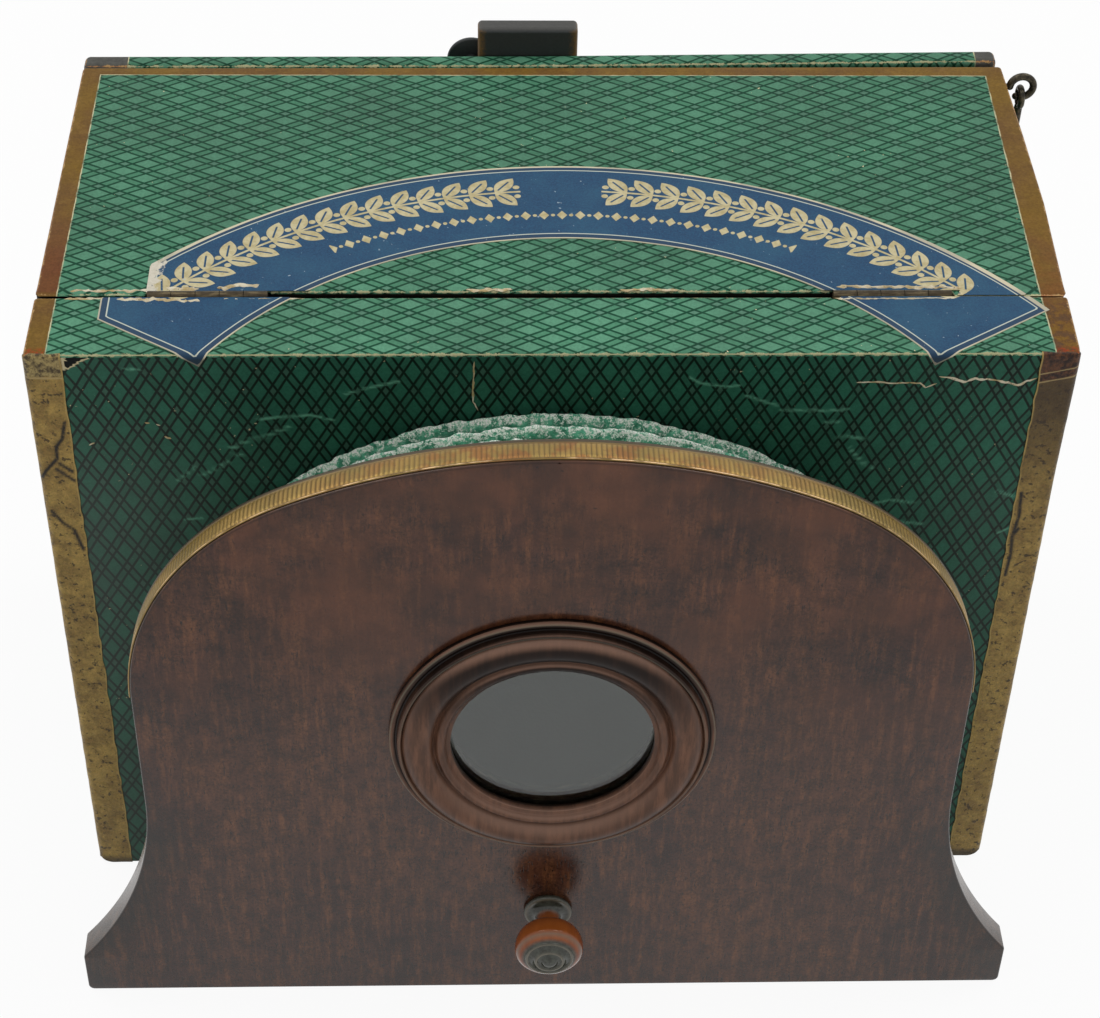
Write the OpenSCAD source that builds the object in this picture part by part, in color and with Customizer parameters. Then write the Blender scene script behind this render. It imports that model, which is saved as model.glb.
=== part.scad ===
// Table viewer for transparent prints: a box with a lid, a rear door, a bellows and a standing lens board.
// Millimetres. X to the right, Y to the back, Z up, origin at the centre of the box's underside.

/* [Case] */
// Width of the box over its side walls
case_w = 240; // [200:1:300]
// Depth of the box from its front face to the lid's rear edge
case_d = 120.5; // [100:0.5:160]
// Height of the box, lid included
case_h = 175.5; // [168:0.5:230]
// Thickness of the floor, front and side boards
wall_t = 5; // [4:0.5:8]
// Thickness of the top strip and the lid
lid_t = 5; // [4.5:0.5:8]
// Distance from the front face to the axis of the lid's hinges
hinge_line = 22.6; // [15:0.1:35]
// Slot between two boards that a hinge joins
hinge_gap = 2; // [1.8:0.1:3]
// Thickness of the rear door
door_t = 5.6; // [4.5:0.1:8]
// Gap between the box and the closed rear door
door_gap = 0.8; // [0.3:0.1:1.5]
// Radius of the door's upper corners
door_corner_r = 2.5; // [1:0.5:6]

/* [Covering paper] */
// Thickness of the brown edging strips
edging_t = 0.3; // [0.2:0.05:0.5]
// Width of the edging on the front of the box
front_edging_w = 8.5; // [5:0.5:15]
// Width of the edging on the sides of the box
side_edging_w = 8; // [5:0.5:15]
// Width of the edging along the sides of the strip and the lid
top_edging_w = 5; // [3:0.5:10]
// Width of the edging along the lid's rear edge
rear_edging_w = 4; // [3:0.5:10]
// Thickness of the linings inside the box
lining_t = 0.3; // [0.2:0.05:0.5]
// Width of bare board round the pale linings of the lid and the door
lining_margin = 9; // [6:0.5:20]

/* [Label] */
// Sideways place of the curved label's centre line
label_x = 3.4; // [-5:0.1:5]
// Radius of the label's outer edge
label_outer_r = 137.1; // [120:0.1:150]
// Distance from the front face to the top of the label's outer edge
label_outer_y = 75; // [60:0.1:80]
// Radius of the label's inner edge
label_inner_r = 97.7; // [85:0.1:110]
// Distance from the front face to the top of the label's inner edge
label_inner_y = 44.6; // [35:0.1:50]
// Angle from the label's middle to each end
label_half_angle = 56; // [40:1:60]
// Thickness of the label
label_t = 0.15; // [0.1:0.05:0.3]

/* [Print rails] */
// Width of a rail, from the wall inwards
rail_w = 8; // [5:0.5:12]
// Thickness of a rail, front to back
rail_t = 5; // [3:0.5:8]
// Slot between the rails, for a framed print
view_slot = 8; // [6:0.5:12]
// Distance from the slot's rear rail to the rear edge of the walls
rail_back = 2; // [1:0.5:6]
// Clearance above the rails, under the lid
rail_top_gap = 3; // [2:0.5:10]

/* [Lens board] */
// Thickness of the lens board
board_t = 8; // [6:0.5:12]
// Gap between the box and the lens board at rest
board_gap = 35; // [30:1:45]
// Height of the lens board
board_h = 180.4; // [170:0.1:200]
// Width of the lens board over its arch
board_w = 195.2; // [180:0.1:200]
// Radius of the board's crown
board_crown_r = 142.3; // [125:0.1:170]
// Radius of the board's shoulders
board_shoulder_r = 65; // [55:0.5:80]
// Height of the board's waist, where the foot curves begin
board_waist_z = 72; // [65:0.5:78]
// Width of the board's foot
foot_w = 237; // [225:0.5:245]
// Radius of the hollow curve above each foot
foot_curve_r = 93.1; // [88:0.1:110]
// Radius of the foot's upper and lower corners
foot_corner_r = 1.6; // [0.5:0.1:3]
// Thickness of the gilt strip on the arch
gilt_t = 0.5; // [0.3:0.05:0.8]
// Width of the gilt strip, across the board's thickness
gilt_w = 6.6; // [4:0.1:7.8]

/* [Bellows] */
// Width of the bellows over its folds
bellows_w = 168; // [150:1:176]
// Height of the top fold
bellows_h = 158.5; // [150:0.5:162]
// Radius of the bellows' crown
bellows_crown_r = 103; // [92:0.5:125]
// Radius of the bellows' shoulders
bellows_shoulder_r = 45; // [35:0.5:55]
// Height of the lowest fold above the table
bellows_foot_z = 12; // [10:0.5:20]
// Number of folds
fold_count = 8; // [5:1:10]
// Depth of a fold
fold_depth = 6.5; // [4:0.1:8]
// Thickness of the bellows' paper and cloth
bellows_paper_t = 0.8; // [0.6:0.1:1.2]
// Width of the wooden frames that carry the bellows
frame_w = 3; // [2:0.1:5]
// How far each frame stands proud of its board
frame_proud = 2; // [1:0.1:4]
// Clearance between a frame and the folds round it
frame_clear = 0.5; // [0.3:0.05:0.8]

/* [Lens] */
// Height of the lens axis
lens_z = 95.4; // [85:0.1:110]
// Outer diameter of the turned moulding round the lens
moulding_d = 77; // [74:0.5:90]
// Diameter of the moulding's opening
sight_d = 48; // [44:0.5:50]
// Diameter of the lens
lens_d = 53; // [51:0.5:54]
// Radius of the lens faces
lens_face_r = 230; // [180:1:400]
// Thickness of the lens at its edge
lens_edge_t = 2.4; // [1.5:0.1:2.8]
// Clearance round the lens in the board
lens_clear = 0.1; // [0.05:0.05:0.3]
// Wall of the ring that holds the lens from behind
retainer_wall = 2.4; // [1.5:0.1:3]

/* [Knob] */
// Height of the knob's axis
knob_z = 31; // [24:0.1:40]
// Diameter of the knob's head
knob_d = 17; // [12:0.5:22]
// Diameter of the knob's collar
knob_collar_d = 12.2; // [9:0.1:14]
// Diameter of the knob's neck
knob_neck_d = 5; // [4:0.1:7]
// Length of the knob in front of the board
knob_l = 17.4; // [14:0.1:22]
// Diameter of the knob's tenon
tenon_d = 6; // [4:0.5:8]
// Length of the knob's tenon in the board
tenon_l = 5; // [3:0.5:6]

/* [Hinges] */
// Length of a hinge
hinge_l = 28; // [20:1:40]
// Distance of each hinge from the middle
hinge_x = 80; // [60:1:95]
// Outer radius of the hinge's knuckles
knuckle_r = 1.25; // [1.2:0.05:1.6]
// Radius of the hinge pin
pin_r = 0.6; // [0.5:0.05:0.7]
// Radial clearance of the pin in its knuckles
pin_clear = 0.04; // [0.02:0.01:0.1]
// Clearance round the knuckles and between them
knuckle_clear = 0.15; // [0.1:0.05:0.3]
// Thickness of a hinge leaf
leaf_t = 0.7; // [0.5:0.05:0.8]
// Height of a hinge leaf below the pin
leaf_h = 4; // [3.5:0.1:4.4]
// Depth of the hinge axis below the outer face of the boards
axis_depth = 0.5; // [0.2:0.05:0.8]
// Number of knuckles of a hinge
knuckles = 5; // [3:2:9]
// Radius of the nails in the hinges
nail_r = 0.45; // [0.3:0.05:0.6]
// Length of those nails
nail_l = 4.5; // [3:0.25:5]

/* [Door furniture] */
// Width of the tab at the top of the door
tab_w = 25.4; // [16:0.1:40]
// Thickness of the tab
tab_t = 5.4; // [4:0.1:5.4]
// Height of the tab
tab_h = 26; // [20:0.5:40]
// How far the tab rises above the door
tab_rise = 6.9; // [3:0.1:10]
// Sideways place of the tab's middle
tab_x = -3.5; // [-20:0.1:20]
// Radius of the tab's corners
tab_corner_r = 1.5; // [0.5:0.1:3]
// Diameter of the round knob beside the tab
door_knob_d = 13; // [8:0.5:16]
// Thickness of the round knob's head
door_knob_t = 3.5; // [2:0.1:4]
// Radius of the round knob's neck
door_knob_neck_r = 2; // [1.5:0.1:3]
// Distance from the top of the door to the round knob's axis
door_knob_drop = 5; // [4:0.1:20]
// Radius of the tab's screws
screw_r = 1.1; // [0.8:0.1:1.5]
// Radius of the screw heads
screw_head_r = 2.3; // [1.8:0.1:3]
// Height of the domed screw heads
screw_head_h = 0.6; // [0.3:0.1:0.6]

/* [Side hook] */
// Distance from the lid's rear edge to the screw eye
eye_back = 4.7; // [3:0.1:12]
// Radius of the eye's ring, to the middle of its wire
eye_ring_r = 3.1; // [2.8:0.1:4]
// Radius of the eye's wire
eye_wire_r = 1; // [0.8:0.05:1.1]
// Distance from the side of the box to the middle of the ring
eye_out = 6.2; // [5.8:0.1:9]
// Length of the eye's shank inside the lid
eye_shank = 10; // [6:0.5:15]
// Radius of the wire of the hook's loop
hook_wire_r = 0.9; // [0.7:0.05:1]
// Radius of the hook's drawn shank and bend
hook_shank_r = 0.8; // [0.6:0.05:0.95]
// Radius of the hook's loop, to the middle of its wire
hook_loop_r = 2.4; // [2.3:0.05:2.6]
// Length from the hook's pivot to the start of its bend
hook_l = 22; // [15:0.5:40]
// Radius of the hook's bend, to the middle of its wire
hook_bend_r = 2.6; // [2:0.1:4]
// Length of the hook's tip above its bend
hook_tip = 3; // [1:0.5:8]
// Radius of the stud on the wall
stud_r = 0.8; // [0.6:0.05:1.2]
// Length of the stud inside the wall
stud_in = 4; // [2:0.5:4]
// Radius of the stud's head
stud_head_r = 2; // [1.5:0.1:2.5]
// Clearance between the stud's head and the swinging hook
stud_clear = 0.8; // [0.5:0.1:1.5]

/* [Hidden] */
$fn = 64;

// Cuts and unions reach past the faces that they cross by this much
eps = 1;
front_y = -case_d / 2;
rear_y = case_d / 2;
half_w = case_w / 2;
inner_w = case_w - 2 * wall_t;
wall_h = case_h - lid_t;
strip_back_y = front_y + hinge_line - hinge_gap / 2;
lid_front_y = front_y + hinge_line + hinge_gap / 2;
door_y = rear_y + door_gap;
door_back_y = door_y + door_t;
door_z = wall_t + hinge_gap;
board_back_y = front_y - board_gap;
board_front_y = board_back_y - board_t;

// Axes of the two pairs of hinges
lid_axis = [0, front_y + hinge_line, case_h - axis_depth];
door_axis = [0, door_back_y - axis_depth, wall_t + hinge_gap / 2];
knuckle_relief_r = knuckle_r + knuckle_clear;
leaf_near = hinge_gap / 2 - leaf_t;
nail_spread = hinge_l * 0.32;
nail_depth = leaf_h * 0.62;

// Side hook: the pivot is the middle of the wire at the bottom of the eye's ring
eye_x = half_w + eye_out;
eye_y = rear_y - eye_back;
eye_z = wall_h + lid_t / 2;
hook_pivot_z = eye_z - eye_ring_r;
stud_y = eye_y - hook_bend_r;
stud_z = hook_pivot_z - hook_l;
stud_end_x = eye_x - hook_wire_r - stud_clear;
stud_head_t = 1;

// Points of an arc in degrees, both ends included
function arc(cx, cy, r, a0, a1, n) = [
    for (i = [0:n]) let (a = a0 + (a1 - a0) * i / n) [cx + r * cos(a), cy + r * sin(a)]
];

// Height of the shoulder centres of an arch whose shoulders run smoothly into its crown
function shoulder_z(w, top, crown_r, shoulder_r) =
    top - crown_r + sqrt(pow(crown_r - shoulder_r, 2) - pow(w / 2 - shoulder_r, 2));

// Arch of three arcs on straight sides, drawn inset by a given distance
module arch(w, top, crown_r, shoulder_r, foot_z, inset = 0) {
    side_x = w / 2 - shoulder_r;
    mid_z = shoulder_z(w, top, crown_r, shoulder_r);
    crown_z = top - crown_r;
    reach = 3;
    for (side = [-1, 1])
        translate([side * side_x, mid_z]) circle(r = shoulder_r - inset);
    intersection() {
        translate([0, crown_z]) circle(r = crown_r - inset);
        polygon([
            [0, crown_z],
            [-side_x * reach, crown_z + (mid_z - crown_z) * reach],
            [side_x * reach, crown_z + (mid_z - crown_z) * reach]
        ]);
    }
    translate([-w / 2 + inset, foot_z + inset]) square([w - 2 * inset, mid_z - foot_z - inset]);
}

module board_arch(inset) {
    arch(board_w, board_h, board_crown_r, board_shoulder_r, board_waist_z + inset, -inset);
}

module bellows_arch(inset) {
    arch(bellows_w, bellows_h, bellows_crown_r, bellows_shoulder_r, bellows_foot_z, inset);
}

// Stands a plan drawn in X and Z upright, from y back to y + depth
module upright(y, depth) {
    translate([0, y + depth, 0]) rotate([90, 0, 0]) linear_extrude(depth) children();
}

// Turns a profile of radius and distance in front of a face about an axis along Y
module turned(x, y, z) {
    translate([x, y, z]) rotate([90, 0, 0]) rotate_extrude($fn = 96) children();
}

// Front of a board with its two upper corners rounded
module rounded_top(w, z0, z1, r) {
    translate([-w / 2, z0]) square([w, z1 - z0 - r]);
    translate([-w / 2 + r, z0]) square([w - 2 * r, z1 - z0]);
    for (side = [-1, 1])
        translate([side * (w / 2 - r), z1 - r]) circle(r = r);
}

// Hinge in its own frame: pin along X at the origin, leaves hanging down on the two sides of Y
module hinge_segments(own, extra, r) {
    seg = hinge_l / knuckles;
    for (i = [0:knuckles - 1])
        if ((i % 2 == 0) == own)
            translate([-hinge_l / 2 + i * seg - extra, 0, 0]) rotate([0, 90, 0])
                cylinder(r = r, h = seg + 2 * extra);
}

module hinge_nail_places(side) {
    for (x = [-nail_spread, nail_spread])
        translate([x, side * leaf_near, -nail_depth]) rotate([-90 * side, 0, 0]) children();
}

module hinge_leaf(side, outer) {
    difference() {
        union() {
            translate([-hinge_l / 2, side > 0 ? leaf_near : -leaf_near - leaf_t, -leaf_h])
                cube([hinge_l, leaf_t, leaf_h]);
            hinge_segments(outer, -knuckle_clear / 2, knuckle_r);
        }
        hinge_segments(!outer, knuckle_clear / 2, knuckle_relief_r);
        rotate([0, 90, 0]) cylinder(r = pin_r + pin_clear, h = hinge_l + 2 * eps, center = true);
        hinge_nail_places(side) translate([0, 0, -eps]) cylinder(r = nail_r, h = leaf_t + 2 * eps);
    }
}

module hinge_pin() {
    rotate([0, 90, 0]) cylinder(r = pin_r, h = hinge_l, center = true);
}

module hinge_nails(side) {
    hinge_nail_places(side) cylinder(r = nail_r, h = nail_l);
}

// Room that a hinge takes out of the boards: round its knuckles, and its nail holes
module hinge_room(side) {
    rotate([0, 90, 0]) cylinder(r = knuckle_relief_r, h = hinge_l + 2 * knuckle_clear, center = true);
    hinge_nails(side);
}

module at_lid_hinge(side) {
    translate([side * hinge_x, 0, 0]) translate(lid_axis) children();
}

module at_door_hinge(side) {
    translate([side * hinge_x, 0, 0]) translate(door_axis) rotate([-90, 0, 0]) children();
}

// The curved label's outline, cut by its two ends
module label_outline() {
    mid_y = front_y + (label_outer_y - label_outer_r + label_inner_y - label_inner_r) / 2;
    reach = 2 * label_outer_r;
    intersection() {
        difference() {
            translate([label_x, front_y + label_outer_y - label_outer_r]) circle(r = label_outer_r);
            translate([label_x, front_y + label_inner_y - label_inner_r]) circle(r = label_inner_r);
        }
        polygon([
            [label_x, mid_y],
            [label_x - reach * sin(label_half_angle), mid_y + reach * cos(label_half_angle)],
            [label_x + reach * sin(label_half_angle), mid_y + reach * cos(label_half_angle)]
        ]);
        translate([-half_w + top_edging_w / 2, front_y]) square([case_w - top_edging_w, case_d]);
    }
}

module label_piece(y0, y1) {
    difference() {
        translate([0, 0, case_h]) linear_extrude(label_t)
            intersection() {
                label_outline();
                translate([-half_w, y0]) square([case_w, y1 - y0]);
            }
        for (side = [-1, 1]) at_lid_hinge(side) hinge_room(1);
    }
}

// Case

module case_floor() {
    color("#3a3028")
        difference() {
            union() {
                translate([-inner_w / 2, front_y, 0]) cube([inner_w, case_d, wall_t]);
                translate([-half_w, rear_y, 0]) cube([case_w, door_back_y - rear_y, wall_t]);
            }
            for (side = [-1, 1]) at_door_hinge(side) hinge_room(1);
        }
}

module left_wall() {
    color("#2f7a58")
        translate([-half_w, front_y, 0]) cube([wall_t, case_d, wall_h]);
}

module stud_hole() {
    translate([half_w - stud_in, stud_y, stud_z]) rotate([0, 90, 0]) cylinder(r = stud_r, h = stud_in + eps);
}

module right_wall() {
    color("#2f7a58")
        difference() {
            translate([half_w - wall_t, front_y, 0]) cube([wall_t, case_d, wall_h]);
            stud_hole();
        }
}

module front_panel() {
    color("#235a46")
        difference() {
            translate([-inner_w / 2, front_y, wall_t]) cube([inner_w, wall_t, wall_h - wall_t]);
            upright(front_y - eps, wall_t + 2 * eps) bellows_arch(frame_inset);
        }
}

module top_strip() {
    color("#4e9a72")
        difference() {
            translate([-half_w, front_y, wall_h]) cube([case_w, strip_back_y - front_y, lid_t]);
            for (side = [-1, 1]) at_lid_hinge(side) hinge_room(-1);
        }
}

module cabin_lining() {
    color("#1d1b1a") {
        for (side = [-1, 1])
            translate([side > 0 ? inner_w / 2 - lining_t : -inner_w / 2, front_y + wall_t, wall_t])
                cube([lining_t, case_d - wall_t, wall_h - wall_t]);
        translate([-inner_w / 2 + lining_t, front_y + wall_t, wall_t])
            cube([inner_w - 2 * lining_t, case_d - wall_t, lining_t]);
        difference() {
            translate([-inner_w / 2 + lining_t, front_y + wall_t, wall_t + lining_t])
                cube([inner_w - 2 * lining_t, lining_t, wall_h - wall_t - lining_t]);
            upright(front_y, wall_t + lining_t + eps) bellows_arch(frame_inset);
        }
    }
}

// One of the four rails: side is -1 or 1, place counts the rails from the rear
module rail(side, place) {
    rail_x = inner_w / 2 - lining_t;
    rail_z = wall_t + lining_t;
    y = rear_y - rail_back - rail_t - place * (rail_t + view_slot);
    color("#4a3626")
        translate([side > 0 ? rail_x - rail_w : -rail_x, y, rail_z])
            cube([rail_w, rail_t, wall_h - rail_top_gap - rail_z]);
}

module left_front_rail() { rail(-1, 1); }
module left_rear_rail() { rail(-1, 0); }
module right_front_rail() { rail(1, 1); }
module right_rear_rail() { rail(1, 0); }

// Angle strip of paper round an upright front corner
module front_edging(side) {
    color("#7a5a2e")
        scale_x(side) {
            translate([half_w - front_edging_w, front_y - edging_t, 0])
                cube([front_edging_w + edging_t, edging_t, case_h]);
            translate([half_w, front_y, 0]) cube([edging_t, side_edging_w, case_h]);
        }
}

// Mirrors a right-hand piece to the left side
module scale_x(side) {
    if (side > 0)
        children();
    else
        mirror([1, 0, 0]) children();
}

module left_front_edging() { front_edging(-1); }
module right_front_edging() { front_edging(1); }

module strip_edging() {
    top_l = hinge_line - hinge_gap / 2 - edging_t;
    color("#7a5a2e")
        for (side = [-1, 1])
            scale_x(side) {
                translate([half_w - top_edging_w, front_y, case_h]) cube([top_edging_w, top_l, edging_t]);
                translate([half_w, front_y + side_edging_w, wall_h])
                    cube([edging_t, top_l - side_edging_w, lid_t]);
            }
}

module strip_label() {
    color("#2c4a7c") label_piece(front_y, strip_back_y);
}

module left_lid_hinge_fixed_leaf() { color("#8a7a52") at_lid_hinge(-1) hinge_leaf(-1, true); }
module right_lid_hinge_fixed_leaf() { color("#8a7a52") at_lid_hinge(1) hinge_leaf(-1, true); }
module left_lid_hinge_pin() { color("#6b5c3a") at_lid_hinge(-1) hinge_pin(); }
module right_lid_hinge_pin() { color("#6b5c3a") at_lid_hinge(1) hinge_pin(); }

module lid_hinge_fixed_nails() {
    color("#6b5c3a")
        for (side = [-1, 1]) at_lid_hinge(side) hinge_nails(-1);
}

module left_door_hinge_fixed_leaf() { color("#8a7a52") at_door_hinge(-1) hinge_leaf(1, true); }
module right_door_hinge_fixed_leaf() { color("#8a7a52") at_door_hinge(1) hinge_leaf(1, true); }
module left_door_hinge_pin() { color("#6b5c3a") at_door_hinge(-1) hinge_pin(); }
module right_door_hinge_pin() { color("#6b5c3a") at_door_hinge(1) hinge_pin(); }

module door_hinge_fixed_nails() {
    color("#6b5c3a")
        for (side = [-1, 1]) at_door_hinge(side) hinge_nails(1);
}

module side_stud() {
    color("#8a7a52") {
        translate([half_w - stud_in, stud_y, stud_z]) rotate([0, 90, 0])
            cylinder(r = stud_r, h = stud_end_x - half_w + stud_in);
        translate([stud_end_x - stud_head_t, stud_y, stud_z]) rotate([0, 90, 0])
            cylinder(r = stud_head_r, h = stud_head_t);
    }
}

// Bellows

valley_inset = fold_depth + bellows_paper_t;
frame_inset = valley_inset + frame_clear;

module bellows_frame(y, depth) {
    upright(y, depth)
        difference() {
            bellows_arch(frame_inset);
            bellows_arch(frame_inset + frame_w);
        }
}

module bellows_rear_frame() {
    color("#3a2a20") bellows_frame(front_y - frame_proud, wall_t + frame_proud);
}

module bellows_front_frame() {
    color("#3a2a20") bellows_frame(board_back_y, frame_proud);
}

// Points of the bellows' outline, inset by a given distance, from the lower left corner round to the right
corner_steps = 7;
crown_steps = 14;
lean = atan2(
    shoulder_z(bellows_w, bellows_h, bellows_crown_r, bellows_shoulder_r) - bellows_h + bellows_crown_r,
    bellows_w / 2 - bellows_shoulder_r
);
function bellows_ring(inset) = let (
    side_x = bellows_w / 2 - bellows_shoulder_r,
    mid_z = shoulder_z(bellows_w, bellows_h, bellows_crown_r, bellows_shoulder_r),
    crown_z = bellows_h - bellows_crown_r,
    r = bellows_shoulder_r - inset,
    foot = bellows_foot_z + inset,
    left = arc(-side_x, mid_z, r, 180, 180 - lean, corner_steps),
    crown = arc(0, crown_z, bellows_crown_r - inset, 180 - lean, lean, crown_steps),
    right = arc(side_x, mid_z, r, lean, 0, corner_steps)
) concat(
    [[-bellows_w / 2 + inset, foot]],
    left,
    [for (i = [1:crown_steps - 1]) crown[i]],
    right,
    [[bellows_w / 2 - inset, foot]]
);

// Rings of the folds: out along the outer skin, and back along the inner skin
bellows_rings = 2 * fold_count;
function fold_inset(i) = i % 2 == 0 ? fold_depth : 0;
function bellows_layers(y0, y1) = concat(
    [for (i = [0:bellows_rings]) [y0 + (y1 - y0) * i / bellows_rings, fold_inset(i)]],
    [for (i = [bellows_rings:-1:0]) [y0 + (y1 - y0) * i / bellows_rings, fold_inset(i) + bellows_paper_t]]
);

module bellows() {
    // The front end stays just clear of the board that it is glued to
    glue_gap = 0.1;
    layers = bellows_layers(front_y, board_back_y + glue_gap);
    n = len(bellows_ring(0));
    m = len(layers);
    points = [for (l = layers) for (p = bellows_ring(l[1])) [p[0], l[0], p[1]]];
    faces = [
        for (j = [0:m - 1]) for (i = [0:n - 1])
            let (a = j * n + i, b = j * n + (i + 1) % n, c = ((j + 1) % m) * n + (i + 1) % n, d = ((j + 1) % m) * n + i)
                each [[a, b, c], [a, c, d]]
    ];
    color("#3f8a68") polyhedron(points, faces);
}

// Lid

module eye_hole() {
    translate([half_w - eye_shank, eye_y, eye_z]) rotate([0, 90, 0]) cylinder(r = eye_wire_r, h = eye_shank + eps);
}

module lid_panel() {
    color("#4e9a72")
        difference() {
            translate([-half_w, lid_front_y, wall_h]) cube([case_w, rear_y - lid_front_y, lid_t]);
            for (side = [-1, 1]) at_lid_hinge(side) hinge_room(1);
            eye_hole();
        }
}

module lid_lining() {
    color("#d8cfb8")
        translate([-half_w + lining_margin, lid_front_y + lining_margin, wall_h - lining_t])
            cube([case_w - 2 * lining_margin, rear_y - lid_front_y - 2 * lining_margin, lining_t]);
}

module lid_edging() {
    start_y = lid_front_y + edging_t;
    color("#7a5a2e")
        difference() {
            union() {
                for (side = [-1, 1])
                    scale_x(side) {
                        translate([half_w - top_edging_w, start_y, case_h])
                            cube([top_edging_w, rear_y - start_y, edging_t]);
                        translate([half_w, start_y, wall_h]) cube([edging_t, rear_y - start_y, lid_t]);
                    }
                translate([-half_w, rear_y - rear_edging_w, case_h]) cube([case_w, rear_edging_w, edging_t]);
                translate([-half_w, rear_y, wall_h]) cube([case_w, edging_t, lid_t]);
            }
            eye_hole();
        }
}

module lid_label() {
    color("#2c4a7c") label_piece(lid_front_y, rear_y);
}

module left_lid_hinge_moving_leaf() { color("#8a7a52") at_lid_hinge(-1) hinge_leaf(1, false); }
module right_lid_hinge_moving_leaf() { color("#8a7a52") at_lid_hinge(1) hinge_leaf(1, false); }

module lid_hinge_moving_nails() {
    color("#6b5c3a")
        for (side = [-1, 1]) at_lid_hinge(side) hinge_nails(1);
}

module lid_screw_eye() {
    color("#4b463c") {
        translate([half_w - eye_shank, eye_y, eye_z]) rotate([0, 90, 0])
            cylinder(r = eye_wire_r, h = eye_shank + eye_out - eye_ring_r);
        translate([eye_x, eye_y, eye_z]) rotate([90, 0, 0])
            rotate_extrude() translate([eye_ring_r, 0]) circle(r = eye_wire_r, $fn = 32);
    }
}

// Door

tab_top_z = case_h + tab_rise;
tab_screw_zs = [tab_top_z - tab_h * 0.5, tab_top_z - tab_h * 0.82];
door_knob_x = tab_x - tab_w / 2 - door_knob_neck_r - 0.3;
door_knob_z = case_h - door_knob_drop;
door_screw_in = door_t * 0.8;

module tab_screw_holes() {
    for (z = tab_screw_zs)
        translate([tab_x, door_back_y - door_screw_in, z]) rotate([-90, 0, 0])
            cylinder(r = screw_r, h = door_screw_in + tab_t + eps);
}

module door_panel() {
    color("#3f8a68")
        difference() {
            upright(door_y, door_t) rounded_top(case_w, door_z, case_h, door_corner_r);
            for (side = [-1, 1]) at_door_hinge(side) hinge_room(-1);
            tab_screw_holes();
            translate([door_knob_x, door_back_y - door_screw_in, door_knob_z]) rotate([-90, 0, 0])
                cylinder(r = door_knob_neck_r, h = door_screw_in + eps);
        }
}

// The lining is thinner than the gap in front of the door
module door_lining() {
    color("#d8cfb8")
        translate([-inner_w / 2 + lining_margin, door_y - lining_t / 2, door_z + lining_margin])
            cube([inner_w - 2 * lining_margin, lining_t / 2, case_h - door_z - 2 * lining_margin - lid_t]);
}

module door_edging() {
    top_z = case_h - door_corner_r;
    color("#7a5a2e")
        for (side = [-1, 1])
            scale_x(side) {
                translate([half_w, door_y, door_z]) cube([edging_t, door_t + edging_t, top_z - door_z]);
                translate([half_w - front_edging_w, door_back_y, door_z])
                    cube([front_edging_w, edging_t, top_z - door_z]);
            }
}

module door_tab() {
    color("#2b2724")
        difference() {
            translate([tab_x, 0, 0])
                upright(door_back_y, tab_t) rounded_top(tab_w, tab_top_z - tab_h, tab_top_z, tab_corner_r);
            tab_screw_holes();
        }
}

module door_tab_screws() {
    color("#6b5c3a")
        for (z = tab_screw_zs)
            translate([tab_x, 0, z]) {
                translate([0, door_back_y - door_screw_in, 0]) rotate([-90, 0, 0])
                    cylinder(r = screw_r, h = door_screw_in + tab_t);
                translate([0, door_back_y + tab_t, 0]) rotate([-90, 0, 0])
                    cylinder(r1 = screw_head_r, r2 = screw_head_r * 0.6, h = screw_head_h);
            }
}

module door_knob() {
    head_y = tab_t + 0.3;
    color("#181614")
        translate([door_knob_x, door_back_y, door_knob_z]) rotate([-90, 0, 0])
            rotate_extrude()
                polygon(concat(
                    [[0, -door_screw_in], [door_knob_neck_r, -door_screw_in], [door_knob_neck_r, head_y]],
                    arc(door_knob_d / 2 - 0.8, head_y + 0.8, 0.8, -90, 30, 5),
                    [[door_knob_d * 0.3, head_y + door_knob_t * 0.93], [0, head_y + door_knob_t]]
                ));
}

module left_door_hinge_moving_leaf() { color("#8a7a52") at_door_hinge(-1) hinge_leaf(-1, false); }
module right_door_hinge_moving_leaf() { color("#8a7a52") at_door_hinge(1) hinge_leaf(-1, false); }

module door_hinge_moving_nails() {
    color("#6b5c3a")
        for (side = [-1, 1]) at_door_hinge(side) hinge_nails(-1);
}

// Lens board

lens_hole_r = lens_d / 2 + lens_clear;

module board_outline() {
    waist = board_w / 2;
    board_arch(0);
    difference() {
        union() {
            translate([-foot_w / 2, foot_corner_r]) square([foot_w, board_waist_z - foot_corner_r]);
            translate([-foot_w / 2 + foot_corner_r, 0]) square([foot_w - 2 * foot_corner_r, board_waist_z]);
            for (side = [-1, 1])
                translate([side * (foot_w / 2 - foot_corner_r), foot_corner_r]) circle(r = foot_corner_r);
        }
        for (side = [-1, 1])
            translate([side * (waist + foot_curve_r), board_waist_z]) circle(r = foot_curve_r, $fn = 128);
    }
}

module lens_board() {
    color("#52443f")
        difference() {
            upright(board_front_y, board_t) board_outline();
            turned(0, board_back_y + eps, lens_z) square([lens_hole_r, board_t + 2 * eps]);
            turned(0, board_front_y + tenon_l, knob_z) square([tenon_d / 2, tenon_l + eps]);
        }
}

module gilt_edging() {
    color("#9a7f45")
        upright(board_front_y + (board_t - gilt_w) / 2, gilt_w)
            difference() {
                board_arch(gilt_t);
                board_arch(0);
                translate([-board_w, -eps]) square([2 * board_w, board_waist_z + gilt_t + eps]);
            }
}

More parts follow.
